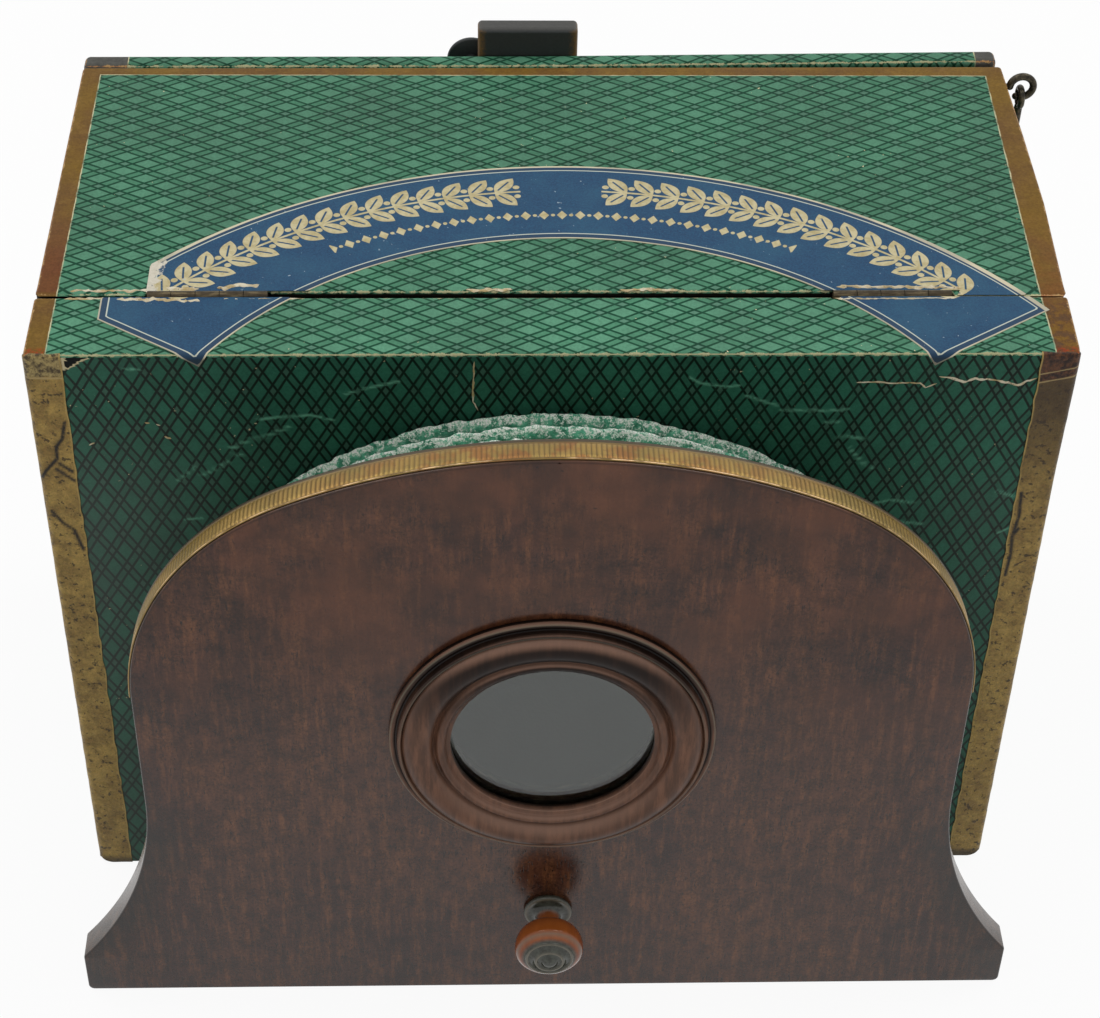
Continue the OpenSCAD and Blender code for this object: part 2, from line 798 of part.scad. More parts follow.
// Profile of the moulding: radius from the lens axis, height in front of the board
function moulding_profile() = let (
    r_out = moulding_d / 2,
    r_in = sight_d / 2,
    seat_r = lens_hole_r,
    seat_h = 0.6,
    lip_h = 2.6,
    rim_r = 0.8,
    rim_h = 1.3,
    bead_r = 0.6,
    step_h = 3.3,
    inner_bead_r = 1.1,
    inner_bead_at = r_in + 2.4,
    swell_at = (r_out - 3.2 + inner_bead_at + 1.9) / 2,
    swell_half = (r_out - 3.2 - inner_bead_at - 1.9) / 2,
    swell_rise = 1.85,
    swell_r = (pow(swell_half, 2) + pow(swell_rise, 2)) / (2 * swell_rise),
    swell_foot = 3.55,
    swell_angle = acos(swell_half / swell_r)
) concat(
    [[seat_r, 0], [r_out, 0]],
    arc(r_out - rim_r, rim_h, rim_r, 0, 90, 6),
    [[r_out - 1.9, rim_h + rim_r], [r_out - 2.2, step_h]],
    arc(r_out - 2.2 - bead_r, step_h, bead_r, 0, 90, 5),
    arc(swell_at, swell_foot + swell_rise - swell_r, swell_r, swell_angle, 180 - swell_angle, 16),
    [[inner_bead_at + 1.5, swell_foot - 0.25]],
    arc(inner_bead_at, lip_h + 0.6, inner_bead_r, 25, 180, 10),
    [[r_in, lip_h], [r_in, seat_h], [seat_r, seat_h]]
);

module lens_moulding() {
    color("#5a3428") turned(0, board_front_y, lens_z) polygon(moulding_profile());
}

// Sagitta of a lens face at a radius
function sag(r) = lens_face_r - sqrt(pow(lens_face_r, 2) - pow(r, 2));
lens_front_h = 0.1;

module lens() {
    edge_r = lens_d / 2;
    steps = 8;
    front = [for (i = [0:steps]) let (r = edge_r * i / steps) [r, lens_front_h + sag(edge_r) - sag(r)]];
    back = [for (i = [steps:-1:0]) let (r = edge_r * i / steps)
        [r, lens_front_h - lens_edge_t - sag(edge_r) + sag(r)]];
    color("#5a605c", 0.6) turned(0, board_front_y, lens_z) polygon(concat(front, back));
}

module lens_retaining_ring() {
    ring_h = board_t + lens_front_h - lens_edge_t - sag(lens_d / 2) + sag(lens_hole_r - retainer_wall) - 0.1;
    color("#8a7a52")
        turned(0, board_back_y, lens_z)
            translate([lens_hole_r - retainer_wall, 0]) square([retainer_wall, ring_h]);
}

// Profile of the knob: tenon, dished collar, thin neck, round head and stepped rings on its end
function knob_profile() = let (
    head_r = knob_d / 2,
    neck_r = knob_neck_d / 2,
    collar_r = knob_collar_d / 2,
    l = knob_l
) concat(
    [[0, -tenon_l], [tenon_d / 2, -tenon_l], [tenon_d / 2, 0], [collar_r - 0.4, 0]],
    arc(collar_r - 0.6, 0.9, 0.6, -45, 90, 6),
    [[collar_r - 1.5, 1.3], [neck_r + 1.1, 1.6], [neck_r + 0.3, 2.6], [neck_r, l * 0.23], [neck_r + 0.2, l * 0.31]],
    [for (a = [0:10:90]) [neck_r + 0.6 + (head_r - neck_r - 0.6) * sin(a), l * 0.37 + l * 0.31 * (1 - cos(a))]],
    [[head_r, l * 0.74], [head_r - 0.25, l * 0.79]],
    [[head_r * 0.72, l * 0.86], [head_r * 0.7, l * 0.9], [head_r * 0.62, l * 0.895], [head_r * 0.43, l * 0.92]],
    [[head_r * 0.4, l * 0.96], [head_r * 0.32, l * 0.96], [head_r * 0.22, l * 0.945]],
    [[head_r * 0.17, l * 0.985], [head_r * 0.08, l], [0, l]]
);

module focus_knob() {
    color("#8a4a2e") turned(0, board_front_y, knob_z) polygon(knob_profile());
}

// Side hook

module side_hook() {
    color("#3d3a34")
        translate([eye_x, eye_y, hook_pivot_z]) {
            rotate([0, 90, 0]) rotate_extrude() translate([hook_loop_r, 0]) circle(r = hook_wire_r, $fn = 32);
            translate([0, 0, -hook_l]) cylinder(r = hook_shank_r, h = hook_l - hook_loop_r);
            translate([0, -hook_bend_r, -hook_l])
                intersection() {
                    rotate([0, 90, 0])
                        rotate_extrude() translate([hook_bend_r, 0]) circle(r = hook_shank_r, $fn = 32);
                    translate([-hook_bend_r, -2 * hook_bend_r, -2 * hook_bend_r])
                        cube([2 * hook_bend_r, 4 * hook_bend_r, 2 * hook_bend_r]);
                }
            translate([0, -2 * hook_bend_r, -hook_l])
                cylinder(r1 = hook_shank_r, r2 = hook_shank_r * 0.7, h = hook_tip);
        }
}

case_floor();
left_wall();
right_wall();
front_panel();
top_strip();
cabin_lining();
left_front_rail();
left_rear_rail();
right_front_rail();
right_rear_rail();
left_front_edging();
right_front_edging();
strip_edging();
strip_label();
left_lid_hinge_fixed_leaf();
right_lid_hinge_fixed_leaf();
left_lid_hinge_pin();
right_lid_hinge_pin();
lid_hinge_fixed_nails();
left_door_hinge_fixed_leaf();
right_door_hinge_fixed_leaf();
left_door_hinge_pin();
right_door_hinge_pin();
door_hinge_fixed_nails();
bellows_rear_frame();
bellows();
side_stud();
lid_panel();
lid_lining();
lid_edging();
lid_label();
left_lid_hinge_moving_leaf();
right_lid_hinge_moving_leaf();
lid_hinge_moving_nails();
lid_screw_eye();
door_panel();
door_lining();
door_edging();
door_tab();
door_tab_screws();
door_knob();
left_door_hinge_moving_leaf();
right_door_hinge_moving_leaf();
door_hinge_moving_nails();
lens_board();
gilt_edging();
lens_moulding();
lens();
lens_retaining_ring();
focus_knob();
bellows_front_frame();
side_hook();
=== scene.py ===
"""Dresses a table viewer for transparent prints: papered box, bellows and polished lens board."""

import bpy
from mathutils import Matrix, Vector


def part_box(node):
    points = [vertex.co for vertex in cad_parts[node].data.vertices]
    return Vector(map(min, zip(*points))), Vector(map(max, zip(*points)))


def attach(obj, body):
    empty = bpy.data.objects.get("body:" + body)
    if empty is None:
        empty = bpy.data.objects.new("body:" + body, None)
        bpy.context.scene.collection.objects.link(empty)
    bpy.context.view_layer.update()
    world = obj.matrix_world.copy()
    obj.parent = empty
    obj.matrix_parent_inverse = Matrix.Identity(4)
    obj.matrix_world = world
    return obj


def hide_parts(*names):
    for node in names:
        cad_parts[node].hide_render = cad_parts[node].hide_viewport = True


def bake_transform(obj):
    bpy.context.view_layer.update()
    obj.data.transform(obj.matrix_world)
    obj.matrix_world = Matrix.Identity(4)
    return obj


bl_info = {
    "name": "Panoptic Viewer", "version": (1, 0, 0), "blender": (4, 2, 0),
    "location": "View3D > Sidebar > Viewer",
    "description": "Builds the papered box, the bellows and the lens board round the CAD frame",
    "category": "Add Mesh",
}

import math
from functools import partial

import bpy
import numpy as np
from mathutils import Matrix, Vector

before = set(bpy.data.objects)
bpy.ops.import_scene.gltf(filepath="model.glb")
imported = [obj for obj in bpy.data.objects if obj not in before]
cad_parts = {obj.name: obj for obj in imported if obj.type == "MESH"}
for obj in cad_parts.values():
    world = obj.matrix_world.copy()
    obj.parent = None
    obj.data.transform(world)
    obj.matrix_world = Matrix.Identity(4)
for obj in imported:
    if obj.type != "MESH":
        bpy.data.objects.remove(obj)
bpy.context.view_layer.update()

# The photo's camera: picture size and focal length in pixels, place in metres, turns in degrees
PICTURE = (1100, 1018)
FOCAL_PIXELS = 2511
CAMERA_PLACE = (-0.018, -0.50685, 0.5302)
CAMERA_TURN = (41.96, 2.30, 1.32)

# Heights of the lens's and the knob's axes, and the X where the label's left end is cut off on lid and strip
LENS_Z, KNOB_Z = 95.4, 31.0
LABEL_CUT_LID, LABEL_CUT_STRIP = -94.3, -104.5


def span(node):
    """Lowest and highest corner of a CAD node, in millimetres."""
    lo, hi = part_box(node)
    return np.array(lo) * 1000, np.array(hi) * 1000


FRONT_Y = span("left_wall")[0][1]
REAR_Y = span("left_wall")[1][1]
TOP_Z = span("lid_panel")[1][2]
LID_FRONT_Y = span("lid_panel")[0][1]
STRIP_BACK_Y = span("top_strip")[1][1]
BOARD_FRONT_Y, BOARD_BACK_Y = span("lens_board")[0][1], span("lens_board")[1][1]
HALF_W = span("left_wall")[0][0] * -1
HINGE_SPANS = [
    (span(n)[0][0] - 0.3, span(n)[1][0] + 0.3) for n in ("left_lid_hinge_pin", "right_lid_hinge_pin")
]


# Sizes and colours that a user would change


def tone(code):
    """An sRGB hex colour as linear light."""
    c = np.array([int(code[k : k + 2], 16) for k in (1, 3, 5)]) / 255
    c = np.where(c <= 0.04045, c / 12.92, ((c + 0.055) / 1.055) ** 2.4)
    return (*c.tolist(), 1.0)


def colour_choice(name, description, code):
    """A colour that a user can change."""
    return bpy.props.FloatVectorProperty(
        name=name, description=description, subtype="COLOR", size=4, default=tone(code)
    )


class PaperSettings(bpy.types.PropertyGroup):
    top_pitch: bpy.props.FloatVectorProperty(
        name="Top lattice",
        description="Width and depth of one lattice diamond on the level boards, in millimetres", size=2,
        default=(11.0, 6.4),
    )
    upright_pitch: bpy.props.FloatVectorProperty(
        name="Upright lattice",
        description="Width and height of one lattice diamond on the upright boards, in millimetres", size=2,
        default=(6.4, 11.0),
    )
    pair: bpy.props.FloatProperty(
        name="Line pair",
        description="Distance between the two lines of a pair, in millimetres", default=1.85,
    )
    line: bpy.props.FloatProperty(
        name="Line width", description="Width of a printed line, in millimetres", default=0.6
    )
    green: colour_choice("Green", "Ground of the paper on lid, strip, sides and door", "#53856B")
    front_green: colour_choice("Front green", "Ground of the paper on the front", "#2A6550")
    blue: colour_choice("Label blue", "Ground of the label, where it is darkest", "#0C3558")


class BellowsSettings(bpy.types.PropertyGroup):
    folds: bpy.props.IntProperty(name="Folds", description="Number of folds of the bellows", default=8)
    depth: bpy.props.FloatProperty(
        name="Fold depth", description="Depth of a fold, in millimetres", default=6.3
    )
    crumple: bpy.props.FloatProperty(
        name="Crumple", description="Height of the puckers along the folds, in millimetres", default=0.55
    )
    green: colour_choice("Bellows green", "Colour of the folded paper, where it is darkest", "#1B6C4F")


class BoardSettings(bpy.types.PropertyGroup):
    bevel: bpy.props.FloatProperty(
        name="Board edge", description="Radius of the lens board's worn edges, in millimetres", default=0.5
    )
    rib: bpy.props.FloatProperty(
        name="Rib pitch",
        description="Distance between the ribs of the gilt strip, in millimetres", default=1.12,
    )
    lid_warp: bpy.props.FloatProperty(
        name="Lid warp",
        description="How far the lid's rear right corner has moved outwards, in millimetres", default=1.8,
    )
    door_warp: bpy.props.FloatProperty(
        name="Door warp",
        description="How far the door's upper right corner has moved back, in millimetres", default=3.3,
    )
    wood: colour_choice("Board wood", "Colour of the polished board, where it is darkest", "#341D16")
    gilt: colour_choice("Gilt", "Colour of the milled strip, where it is darkest", "#8A743C")


class StageSettings(bpy.types.PropertyGroup):
    key: bpy.props.FloatProperty(
        name="Key light", description="Power of the two soft boxes together", default=11.0, unit="POWER"
    )
    sky: bpy.props.FloatProperty(
        name="Sky", description="Strength of the even light all round", default=0.5
    )
    white: bpy.props.FloatProperty(
        name="White floor",
        description="How far the floor is seen as plain white, from 0 to 1", subtype="FACTOR", default=0.93,
    )
    floor: bpy.props.FloatVectorProperty(
        name="Floor", description="Colour of the floor", subtype="COLOR", size=3, default=(0.93, 0.93, 0.93)
    )


# Tools for surfaces: every shape is a grid of points worked out as whole arrays


def patch(points, uv=None, close_rows=False, close_cols=False, **values):
    """A surface from a grid of points of shape (rows, columns, 3): quads join each point to its neighbours.

    uv holds the sheet's own coordinates in millimetres, values hold one number for each point.
    """
    rows, cols = points.shape[:2]
    i = np.arange(rows if close_rows else rows - 1)[:, None]
    j = np.arange(cols if close_cols else cols - 1)[None, :]
    at = lambda a, b: (a % rows) * cols + (b % cols)
    quads = np.stack([at(i, j), at(i, j + 1), at(i + 1, j + 1), at(i + 1, j)], -1)
    out = {"p": points.reshape(-1, 3), "q": quads.reshape(-1, 4)}
    out["uv"] = np.zeros((rows * cols, 2)) if uv is None else np.asarray(uv).reshape(-1, 2)
    for name, value in values.items():
        out[name] = np.broadcast_to(value, (rows, cols) + np.shape(value)[2:]).reshape(
            rows * cols, *np.shape(value)[2:]
        )
    return out


def join(*parts):
    """Several surfaces as one."""
    keys = set(parts[0]) - {"q"}
    for part in parts:
        keys &= set(part)
    shift = np.cumsum([0] + [len(part["p"]) for part in parts[:-1]])
    out = {k: np.concatenate([part[k] for part in parts]) for k in keys}
    out["q"] = np.concatenate([part["q"] + s for part, s in zip(parts, shift)])
    return out


def outwards(part):
    """Turns a closed surface so that its quads face out: the sum of the signed volumes below them is
    positive."""
    a, b, c, d = (part["p"][part["q"][:, k]] for k in range(4))
    volume = np.einsum("ij,ij->", a, np.cross(b, c)) + np.einsum("ij,ij->", a, np.cross(c, d))
    if volume < 0:
        part["q"] = part["q"][:, ::-1]
    return part


def place(name, part, material, body, stands_for=(), sharp=38.0, normals=False):
    """Puts a surface into a mesh: points at one place become one, and a quad that closes up becomes a
    triangle."""
    rounded = np.round(part["p"], 4)
    _, first, back = np.unique(rounded, axis=0, return_index=True, return_inverse=True)
    back = back.reshape(-1)
    quads = part["q"]
    welded = back[quads]
    same = welded == np.roll(welded, -1, axis=1)
    whole = same.sum(1) == 0
    faces = welded[whole].tolist()
    corners = [quads[whole].reshape(-1)]
    for k in range(4):
        one = (same.sum(1) == 1) & same[:, k]
        keep = [c for c in range(4) if c != k]
        faces += welded[one][:, keep].tolist()
        corners.append(quads[one][:, keep].reshape(-1))
    corners = np.concatenate(corners)
    mesh = bpy.data.meshes.new(name)
    mesh.from_pydata((part["p"][first] / 1000).tolist(), [], faces)
    layer = mesh.uv_layers.new(name="sheet")
    layer.data.foreach_set("uv", (part["uv"][corners] / 1000).astype(np.float32).ravel())
    for key in set(part) - {"p", "q", "uv", "normal"}:
        attribute = mesh.attributes.new(key, "FLOAT", "POINT")
        attribute.data.foreach_set("value", part[key][first].astype(np.float32))
    mesh.shade_smooth()
    if normals:
        mesh.normals_split_custom_set_from_vertices(part["normal"][first].tolist())
    elif sharp:
        mesh.set_sharp_from_angle(angle=math.radians(sharp))
    mesh.materials.append(material)
    piece = bpy.data.objects.new(name, mesh)
    bpy.context.scene.collection.objects.link(piece)
    if body:
        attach(piece, body)
    if stands_for:
        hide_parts(*stands_for)
    return piece


def rough(x, y, seed, scale=1.0):
    """Smooth random heights between -1 and 1: random values on a square lattice, joined by a cubic ease."""
    table = np.random.default_rng(seed).uniform(-1, 1, (257, 257))
    x, y = np.asarray(x) / scale, np.asarray(y) / scale
    i, j = np.floor(x).astype(int), np.floor(y).astype(int)
    s, t = x - i, y - j
    s, t = s * s * (3 - 2 * s), t * t * (3 - 2 * t)
    at = lambda a, b: table[a % 257, b % 257]
    low = at(i, j) * (1 - s) + at(i + 1, j) * s
    high = at(i, j + 1) * (1 - s) + at(i + 1, j + 1) * s
    return low * (1 - t) + high * t


def lengths(path):
    """Length along a path up to each of its points."""
    return np.concatenate([[0], np.cumsum(np.linalg.norm(np.diff(path, axis=0), axis=1))])


def along_path(at, run, path):
    """Points or directions of a path at given lengths along it."""
    return np.stack([np.interp(at, run, values) for values in path.T], -1)


def arc(cx, cy, r, a0, a1, n):
    """Points of an arc in degrees."""
    a = np.radians(np.linspace(a0, a1, n))
    return np.stack([cx + r * np.cos(a), cy + r * np.sin(a)], -1)


def stations(lo, hi, r, more=(), steps=4):
    """Grid lines along one side of a board: close together over its rounded edges, then 3 mm in, and at
    asked places."""
    near = np.tan(np.linspace(math.pi / 4, 0, steps + 1)) * r
    inner = [x for x in (lo + 3, hi - 3, *more) if lo + r < x < hi - r]
    return np.unique(np.round(np.concatenate([lo + r - near, hi - r + near, inner]), 4))


def rounded_board(lo, hi, r, more=((), (), ()), upright=False):
    """A board with rounded edges: each point of a box's grid moves to the sphere of radius r round the
    nearest point of the box shrunk by r. edge is the distance to the nearest arris, and the sheet lies flat
    on each face. On an upright board the sheet's height runs on across its top."""
    lo, hi = np.array(lo, float), np.array(hi, float)
    lines = [stations(lo[k], hi[k], r, more[k]) for k in range(3)]
    parts = []
    for k, (i, j) in enumerate(((1, 2), (0, 2), (0, 1))):
        a, b = np.meshgrid(lines[i], lines[j], indexing="ij")
        near = np.minimum.reduce([a - lo[i], hi[i] - a, b - lo[j], hi[j] - b, np.full(a.shape, 3.0)])
        for side in (lo[k], hi[k]):
            flat = np.empty(a.shape + (3,))
            flat[..., i], flat[..., j], flat[..., k] = a, b, side
            core = np.clip(flat, lo + r, hi - r)
            normal = (flat - core) / np.linalg.norm(flat - core, axis=-1, keepdims=True)
            sheet = np.stack([b, a] if upright and k == 2 else [a, b], -1)
            parts.append(patch(core + r * normal, sheet, edge=near, normal=normal, across=flat[..., 0]))
    whole = join(*parts)
    a, b, c = (whole["p"][whole["q"][:, m]] for m in (0, 1, 2))
    n = whole["normal"][whole["q"]].sum(1)
    wrong = np.einsum("ij,ij->i", np.cross(b - a, c - a), n) < 0
    whole["q"][wrong] = whole["q"][wrong][:, ::-1]
    return whole


def turned(profile, centre, forward=-1, steps=160):
    """A turned piece: a profile of radius and height, carried round an axis along Y."""
    profile = np.asarray(profile, float)
    a = np.linspace(0, 2 * math.pi, steps, endpoint=False)
    r, h = profile[:, 0][:, None], profile[:, 1][:, None]
    points = np.stack(
        [centre[0] + r * np.cos(a), centre[1] + forward * h + 0 * a, centre[2] + r * np.sin(a)], -1
    )
    run = np.concatenate([[0], np.cumsum(np.hypot(*np.diff(profile, axis=0).T))])
    uv = np.stack(np.broadcast_arrays(a * 10, run[:, None]), -1)
    return outwards(patch(points, uv, close_cols=True))


def wire(path, radius, flat_normal, sides=20, closed=False):
    """A wire: a circle carried along a plane path. One side of the circle's frame is the plane's normal."""
    path = np.asarray(path, float)
    radius = np.broadcast_to(radius, len(path)).astype(float)
    along = np.roll(path, -1, 0) - np.roll(path, 1, 0) if closed else np.gradient(path, axis=0)
    along /= np.linalg.norm(along, axis=1, keepdims=True)
    b = np.array(flat_normal, float)
    n = np.cross(along, b)
    if not closed:
        tip = np.sin(np.linspace(0, math.pi / 2, 5))[:-1]
        cap = np.cos(np.linspace(0, math.pi / 2, 5))[:-1]
        start = path[0] - along[0] * radius[0] * cap[:, None]
        end = (path[-1] + along[-1] * radius[-1] * cap[:, None])[::-1]
        path = np.concatenate([start, path, end])
        radius = np.concatenate([radius[0] * tip, radius, (radius[-1] * tip)[::-1]])
        n = np.concatenate([np.repeat(n[:1], 4, 0), n, np.repeat(n[-1:], 4, 0)])
    a = np.linspace(0, 2 * math.pi, sides, endpoint=False)
    ring = n[:, None] * np.cos(a)[None, :, None] + b * np.sin(a)[None, :, None]
    points = path[:, None] + ring * radius[:, None, None]
    return outwards(patch(points, close_cols=True, close_rows=closed))


# Tools for materials


class Worked:
    """What a node works out. A sum written with it adds the node for the sum, and [] picks another output."""

    # A numpy number on the left of a sum leaves the sum to this class
    __array_ufunc__ = None

    def __init__(self, node, output=0):
        self.node, self.output = node, output

    def __getitem__(self, output):
        return Worked(self.node, output)

    def sum(self, kind, *values):
        return put_in(self.node.id_data, "Math", *values, operation=kind)

    def __abs__(self):
        return self.sum("ABSOLUTE", self)

    def __add__(self, other):
        return self.sum("ADD", self, other)

    def __sub__(self, other):
        return self.sum("SUBTRACT", self, other)

    def __rsub__(self, other):
        return self.sum("SUBTRACT", other, self)

    def __mul__(self, other):
        return self.sum("MULTIPLY", self, other)

    def __truediv__(self, other):
        return self.sum("DIVIDE", self, other)


# Settings that all nodes of a kind have here: a MapRange eases from one value to another as its input rises
USUAL = {"MapRange": {"interpolation_type": "SMOOTHSTEP"}}


def put_in(tree, kind, *values, **settings):
    """Adds one node with its settings to a tree. Values go to its inputs in turn, or by name from a dict."""
    made = Worked(tree.nodes.new("ShaderNode" + kind))
    for name, value in {**USUAL.get(kind, {}), **settings}.items():
        setattr(made.node, name, value)
    fill(made, values[0] if values and isinstance(values[0], dict) else dict(enumerate(values)))
    return made


def fill(made, inputs):
    """Gives inputs of a node their values, hex colours as linear light, or links them to other nodes."""
    for key, value in inputs.items():
        socket = made.node.inputs[key]
        if isinstance(value, Worked):
            socket.id_data.links.new(value.node.outputs[value.output], socket)
        else:
            socket.default_value = tone(value) if isinstance(value, str) else value


def begin(name):
    """A new material with a surface shader. Returns the material, what adds nodes to it, and the shader."""
    material = bpy.data.materials.new(name)
    material.use_nodes = True
    material.node_tree.nodes.clear()
    put = partial(put_in, material.node_tree)
    shader = put("BsdfPrincipled")
    put("OutputMaterial", {"Surface": shader})
    return material, put, shader


def place_mm(put, source="Object", stretch=(1, 1, 1)):
    """A place on the piece in millimetres: Object coordinates or the sheet's own, times a thousand."""
    return put("Mapping", {0: put("TexCoord")[source], "Scale": [1000 * s for s in stretch]})


def cloudy(at, size, detail=3, roughness=0.55, seed=0.0):
    """Cloudy noise between 0 and 1 whose patches are about size millimetres wide, moved by the seed."""
    put = partial(put_in, at.node.id_data)
    moved = put("VectorMath", at, (seed, seed * 1.7, seed * 0.6), operation="ADD")
    return put("TexNoise", {"Vector": moved, "Scale": 1 / size, "Detail": detail, "Roughness": roughness})


def seen(put):
    """1 for what the camera, a mirror or a glass sees, 0 for the light that a surface gathers."""
    path = put("LightPath")
    mirror = put("Math", path["Is Glossy Ray"], path["Is Transmission Ray"], operation="MAXIMUM")
    return put("Math", path["Is Camera Ray"], mirror, operation="MAXIMUM")


def raise_by(shader, height, distance, strength=1.0):
    """Relief from a height of 0 to 1, its distance in millimetres."""
    relief = {"Strength": strength, "Distance": distance / 1000, "Height": height}
    fill(shader, {"Normal": put_in(shader.node.id_data, "Bump", relief)})


def lattice(put, u, v, width, height, paper):
    """Two crossed families of double lines. Along each family's own direction the distance to the nearest
    pair's middle is a triangle wave. Gives line, band and crossing amounts."""
    step = 1 / math.hypot(1 / width, 1 / height)
    sides = []
    across = u * (1 / width)
    up = v * (1 / height)
    for kind in ("ADD", "SUBTRACT"):
        wave = put("Math", put("Math", across, up, operation=kind), 0.5, operation="PINGPONG")
        away = wave * step
        off = abs(away - paper.pair / 2)
        line = put("MapRange", off, paper.line * 0.3, paper.line * 0.7, 1, 0)
        band = put("MapRange", away, paper.pair / 2 - 0.1, paper.pair / 2 + 0.1, 1, 0)
        sides.append((line, band))
    lines = put("Math", sides[0][0], sides[1][0], operation="MAXIMUM")
    bands = put("Math", sides[0][1], sides[1][1], operation="MAXIMUM")
    crossing = sides[0][1] * sides[1][1]
    return lines, bands, crossing


def printed_paper(name, source, axes, pitch, colours, paper, brown=None, creased=0.0):
    """Block-printed lattice paper, pasted on board and varnished: matt green with crossed double lines,
    cream where it is rubbed through along the arrises. brown gives where binding paper covers it, by
    distances on two axes."""
    material, put, shader = begin(name)
    at = place_mm(put, source)
    whole = place_mm(put, "Object")
    wobble = cloudy(whole, 9, 2, 0.5)
    shift = put("VectorMath", wobble["Color"], (0.5, 0.5, 0.5), operation="SUBTRACT")
    small = put("VectorMath", {0: shift, "Scale": 0.45}, operation="SCALE")
    moved = put("VectorMath", at, small, operation="ADD")
    u, v = put("SeparateXYZ", moved)[axes[0]], put("SeparateXYZ", moved)[axes[1]]
    lines, bands, crossing = lattice(put, u, v, *pitch, paper)
    field, band, node, line, cream = colours
    clouds = cloudy(whole, 26, 4, 0.6, 3.1)
    fine = cloudy(whole, 0.7, 3, 0.7, 5.3)
    ground = put("MixRGB", bands * 0.85, field, band)
    ground = put("MixRGB", crossing * 0.6, ground, node)
    worn_ink = put("MapRange", cloudy(whole, 6, 4, 0.7, 9.7), 0.28, 0.6, 0.88, 1.0)
    ink = put("MixRGB", lines * worn_ink, ground, line)
    shade = put("MapRange", clouds, 0.3, 0.72, 0.84, 1.16)
    grain = put("MapRange", fine, 0.25, 0.75, 0.84, 1.14)
    ink = put("HueSaturation", {"Value": shade * grain, "Color": ink})
    flecks = put("MapRange", cloudy(whole, 1.1, 2, 0.5, 17.0), 0.735, 0.765)
    rare = put("MapRange", cloudy(whole, 14, 2, 0.5, 21.0), 0.5, 0.62)
    ink = put("MixRGB", flecks * rare, ink, cream)
    relief = fine * 0.25
    if source == "UV":
        # Painted light: the paper is painted lighter towards the front of the box
        painted_light_tone = put("MapRange", put("SeparateXYZ", whole)[1], -55, 5, 1.24, 1.0)
        ink = put("HueSaturation", {"Value": painted_light_tone, "Color": ink})
    else:
        # The front is greyed towards its ends, more so lower down
        x = put("SeparateXYZ", whole)[0]
        ends = put("MapRange", x, -112, -45, 0.27, 0.02) + put("MapRange", x, 50, 112, 0, 0.1)
        tone_shift = ends * put("MapRange", put("SeparateXYZ", whole)[2], 125, 168, 1, 0.25)
        ink = put("MixRGB", tone_shift, ink, "#7C7F7C")
    if creased:
        warp = cloudy(whole, 30, 3, 0.6, 4.0)
        ridges = put(
            "TexNoise",
            {"Vector": whole, "Scale": 1 / 17, "Detail": 3, "Roughness": 0.5, "Distortion": 1.6},
            noise_type="RIDGED_MULTIFRACTAL",
        )
        folds = put("MapRange", ridges, 0.55, 1.5, 0, creased)
        relief = relief + folds
        rubbed = put("MapRange", ridges, 1.1, 1.75) * put("MapRange", warp, 0.48, 0.62)
        ink = put("MixRGB", rubbed * 0.5, ink, "#4E9474")
        scuff = put("Attribute", attribute_name="scuff")["Fac"]
        broken = put("MapRange", cloudy(whole, 2.2, 4, 0.75, 15.0), 0.3, 0.58, 0, 0.65)
        chafed = put("Math", scuff, broken, operation="MULTIPLY", use_clamp=True)
        ink = put("MixRGB", chafed, ink, "#7CC2A2")
        hole = put("Attribute", attribute_name="hole")["Fac"]
        ink = put("MixRGB", put("MapRange", hole, 0.25, 0.45), ink, cream)
        # Painted shade: black painted inside the hole where the corner is torn
        ink = put("MixRGB", put("MapRange", hole, 0.55, 0.65), ink, "#0A0D0B")
    if brown is not None:
        binding, cover = brown(put, whole, ink, cream)
        ink = binding
        relief = relief + cover
    if source == "UV":
        ragged = cloudy(whole, 2.6, 6, 0.85, 12.0)
        ahead = put("MapRange", put("SeparateXYZ", whole)[1], FRONT_Y + 3, FRONT_Y + 6, 0.2, -1)
        limit = put("Math", put("MapRange", ragged, 0.32, 0.72, -0.2, 0.9), ahead, operation="MAXIMUM")
        worn = put("MapRange", put("Attribute", attribute_name="edge")["Fac"] - limit, -0.12, 0.16, 1, 0)
        scar = put("MixRGB", fine, cream, "#8C9468")
        if brown is not None:
            bared = put("MixRGB", put("MapRange", ragged, 0.4, 0.6), "#A4532C", "#B8905A")
            scar = put("MixRGB", cover * 0.85, scar, bared)
        ink = put("MixRGB", worn, ink, scar)
    if brown is not None:
        # Deep in the slot between strip and lid the paper is painted black: painted shade in the gap
        aside = abs(put("SeparateXYZ", whole)[1] - (STRIP_BACK_Y + LID_FRONT_Y) / 2)
        painted_shade = put("MapRange", put("SeparateXYZ", whole)[2], TOP_Z - 0.9, TOP_Z - 0.4, 1, 0)
        beside = put("MapRange", aside, 1.5, 1.9, 1, 0)
        across = put("Attribute", attribute_name="across")["Fac"]
        open_part = beside * put("MapRange", across, 92, 94, 1, 0)
        painted_slot_shade = open_part * painted_shade
        ink = put("MixRGB", painted_slot_shade, ink, "#15110C")
    sheen = put("MapRange", clouds, 0.3, 0.7, 0.42, 0.58)
    fill(shader, {"Base Color": ink, "Specular IOR Level": 0.1, "Roughness": sheen})
    raise_by(shader, relief, 0.12 if not creased else 0.35)
    return material


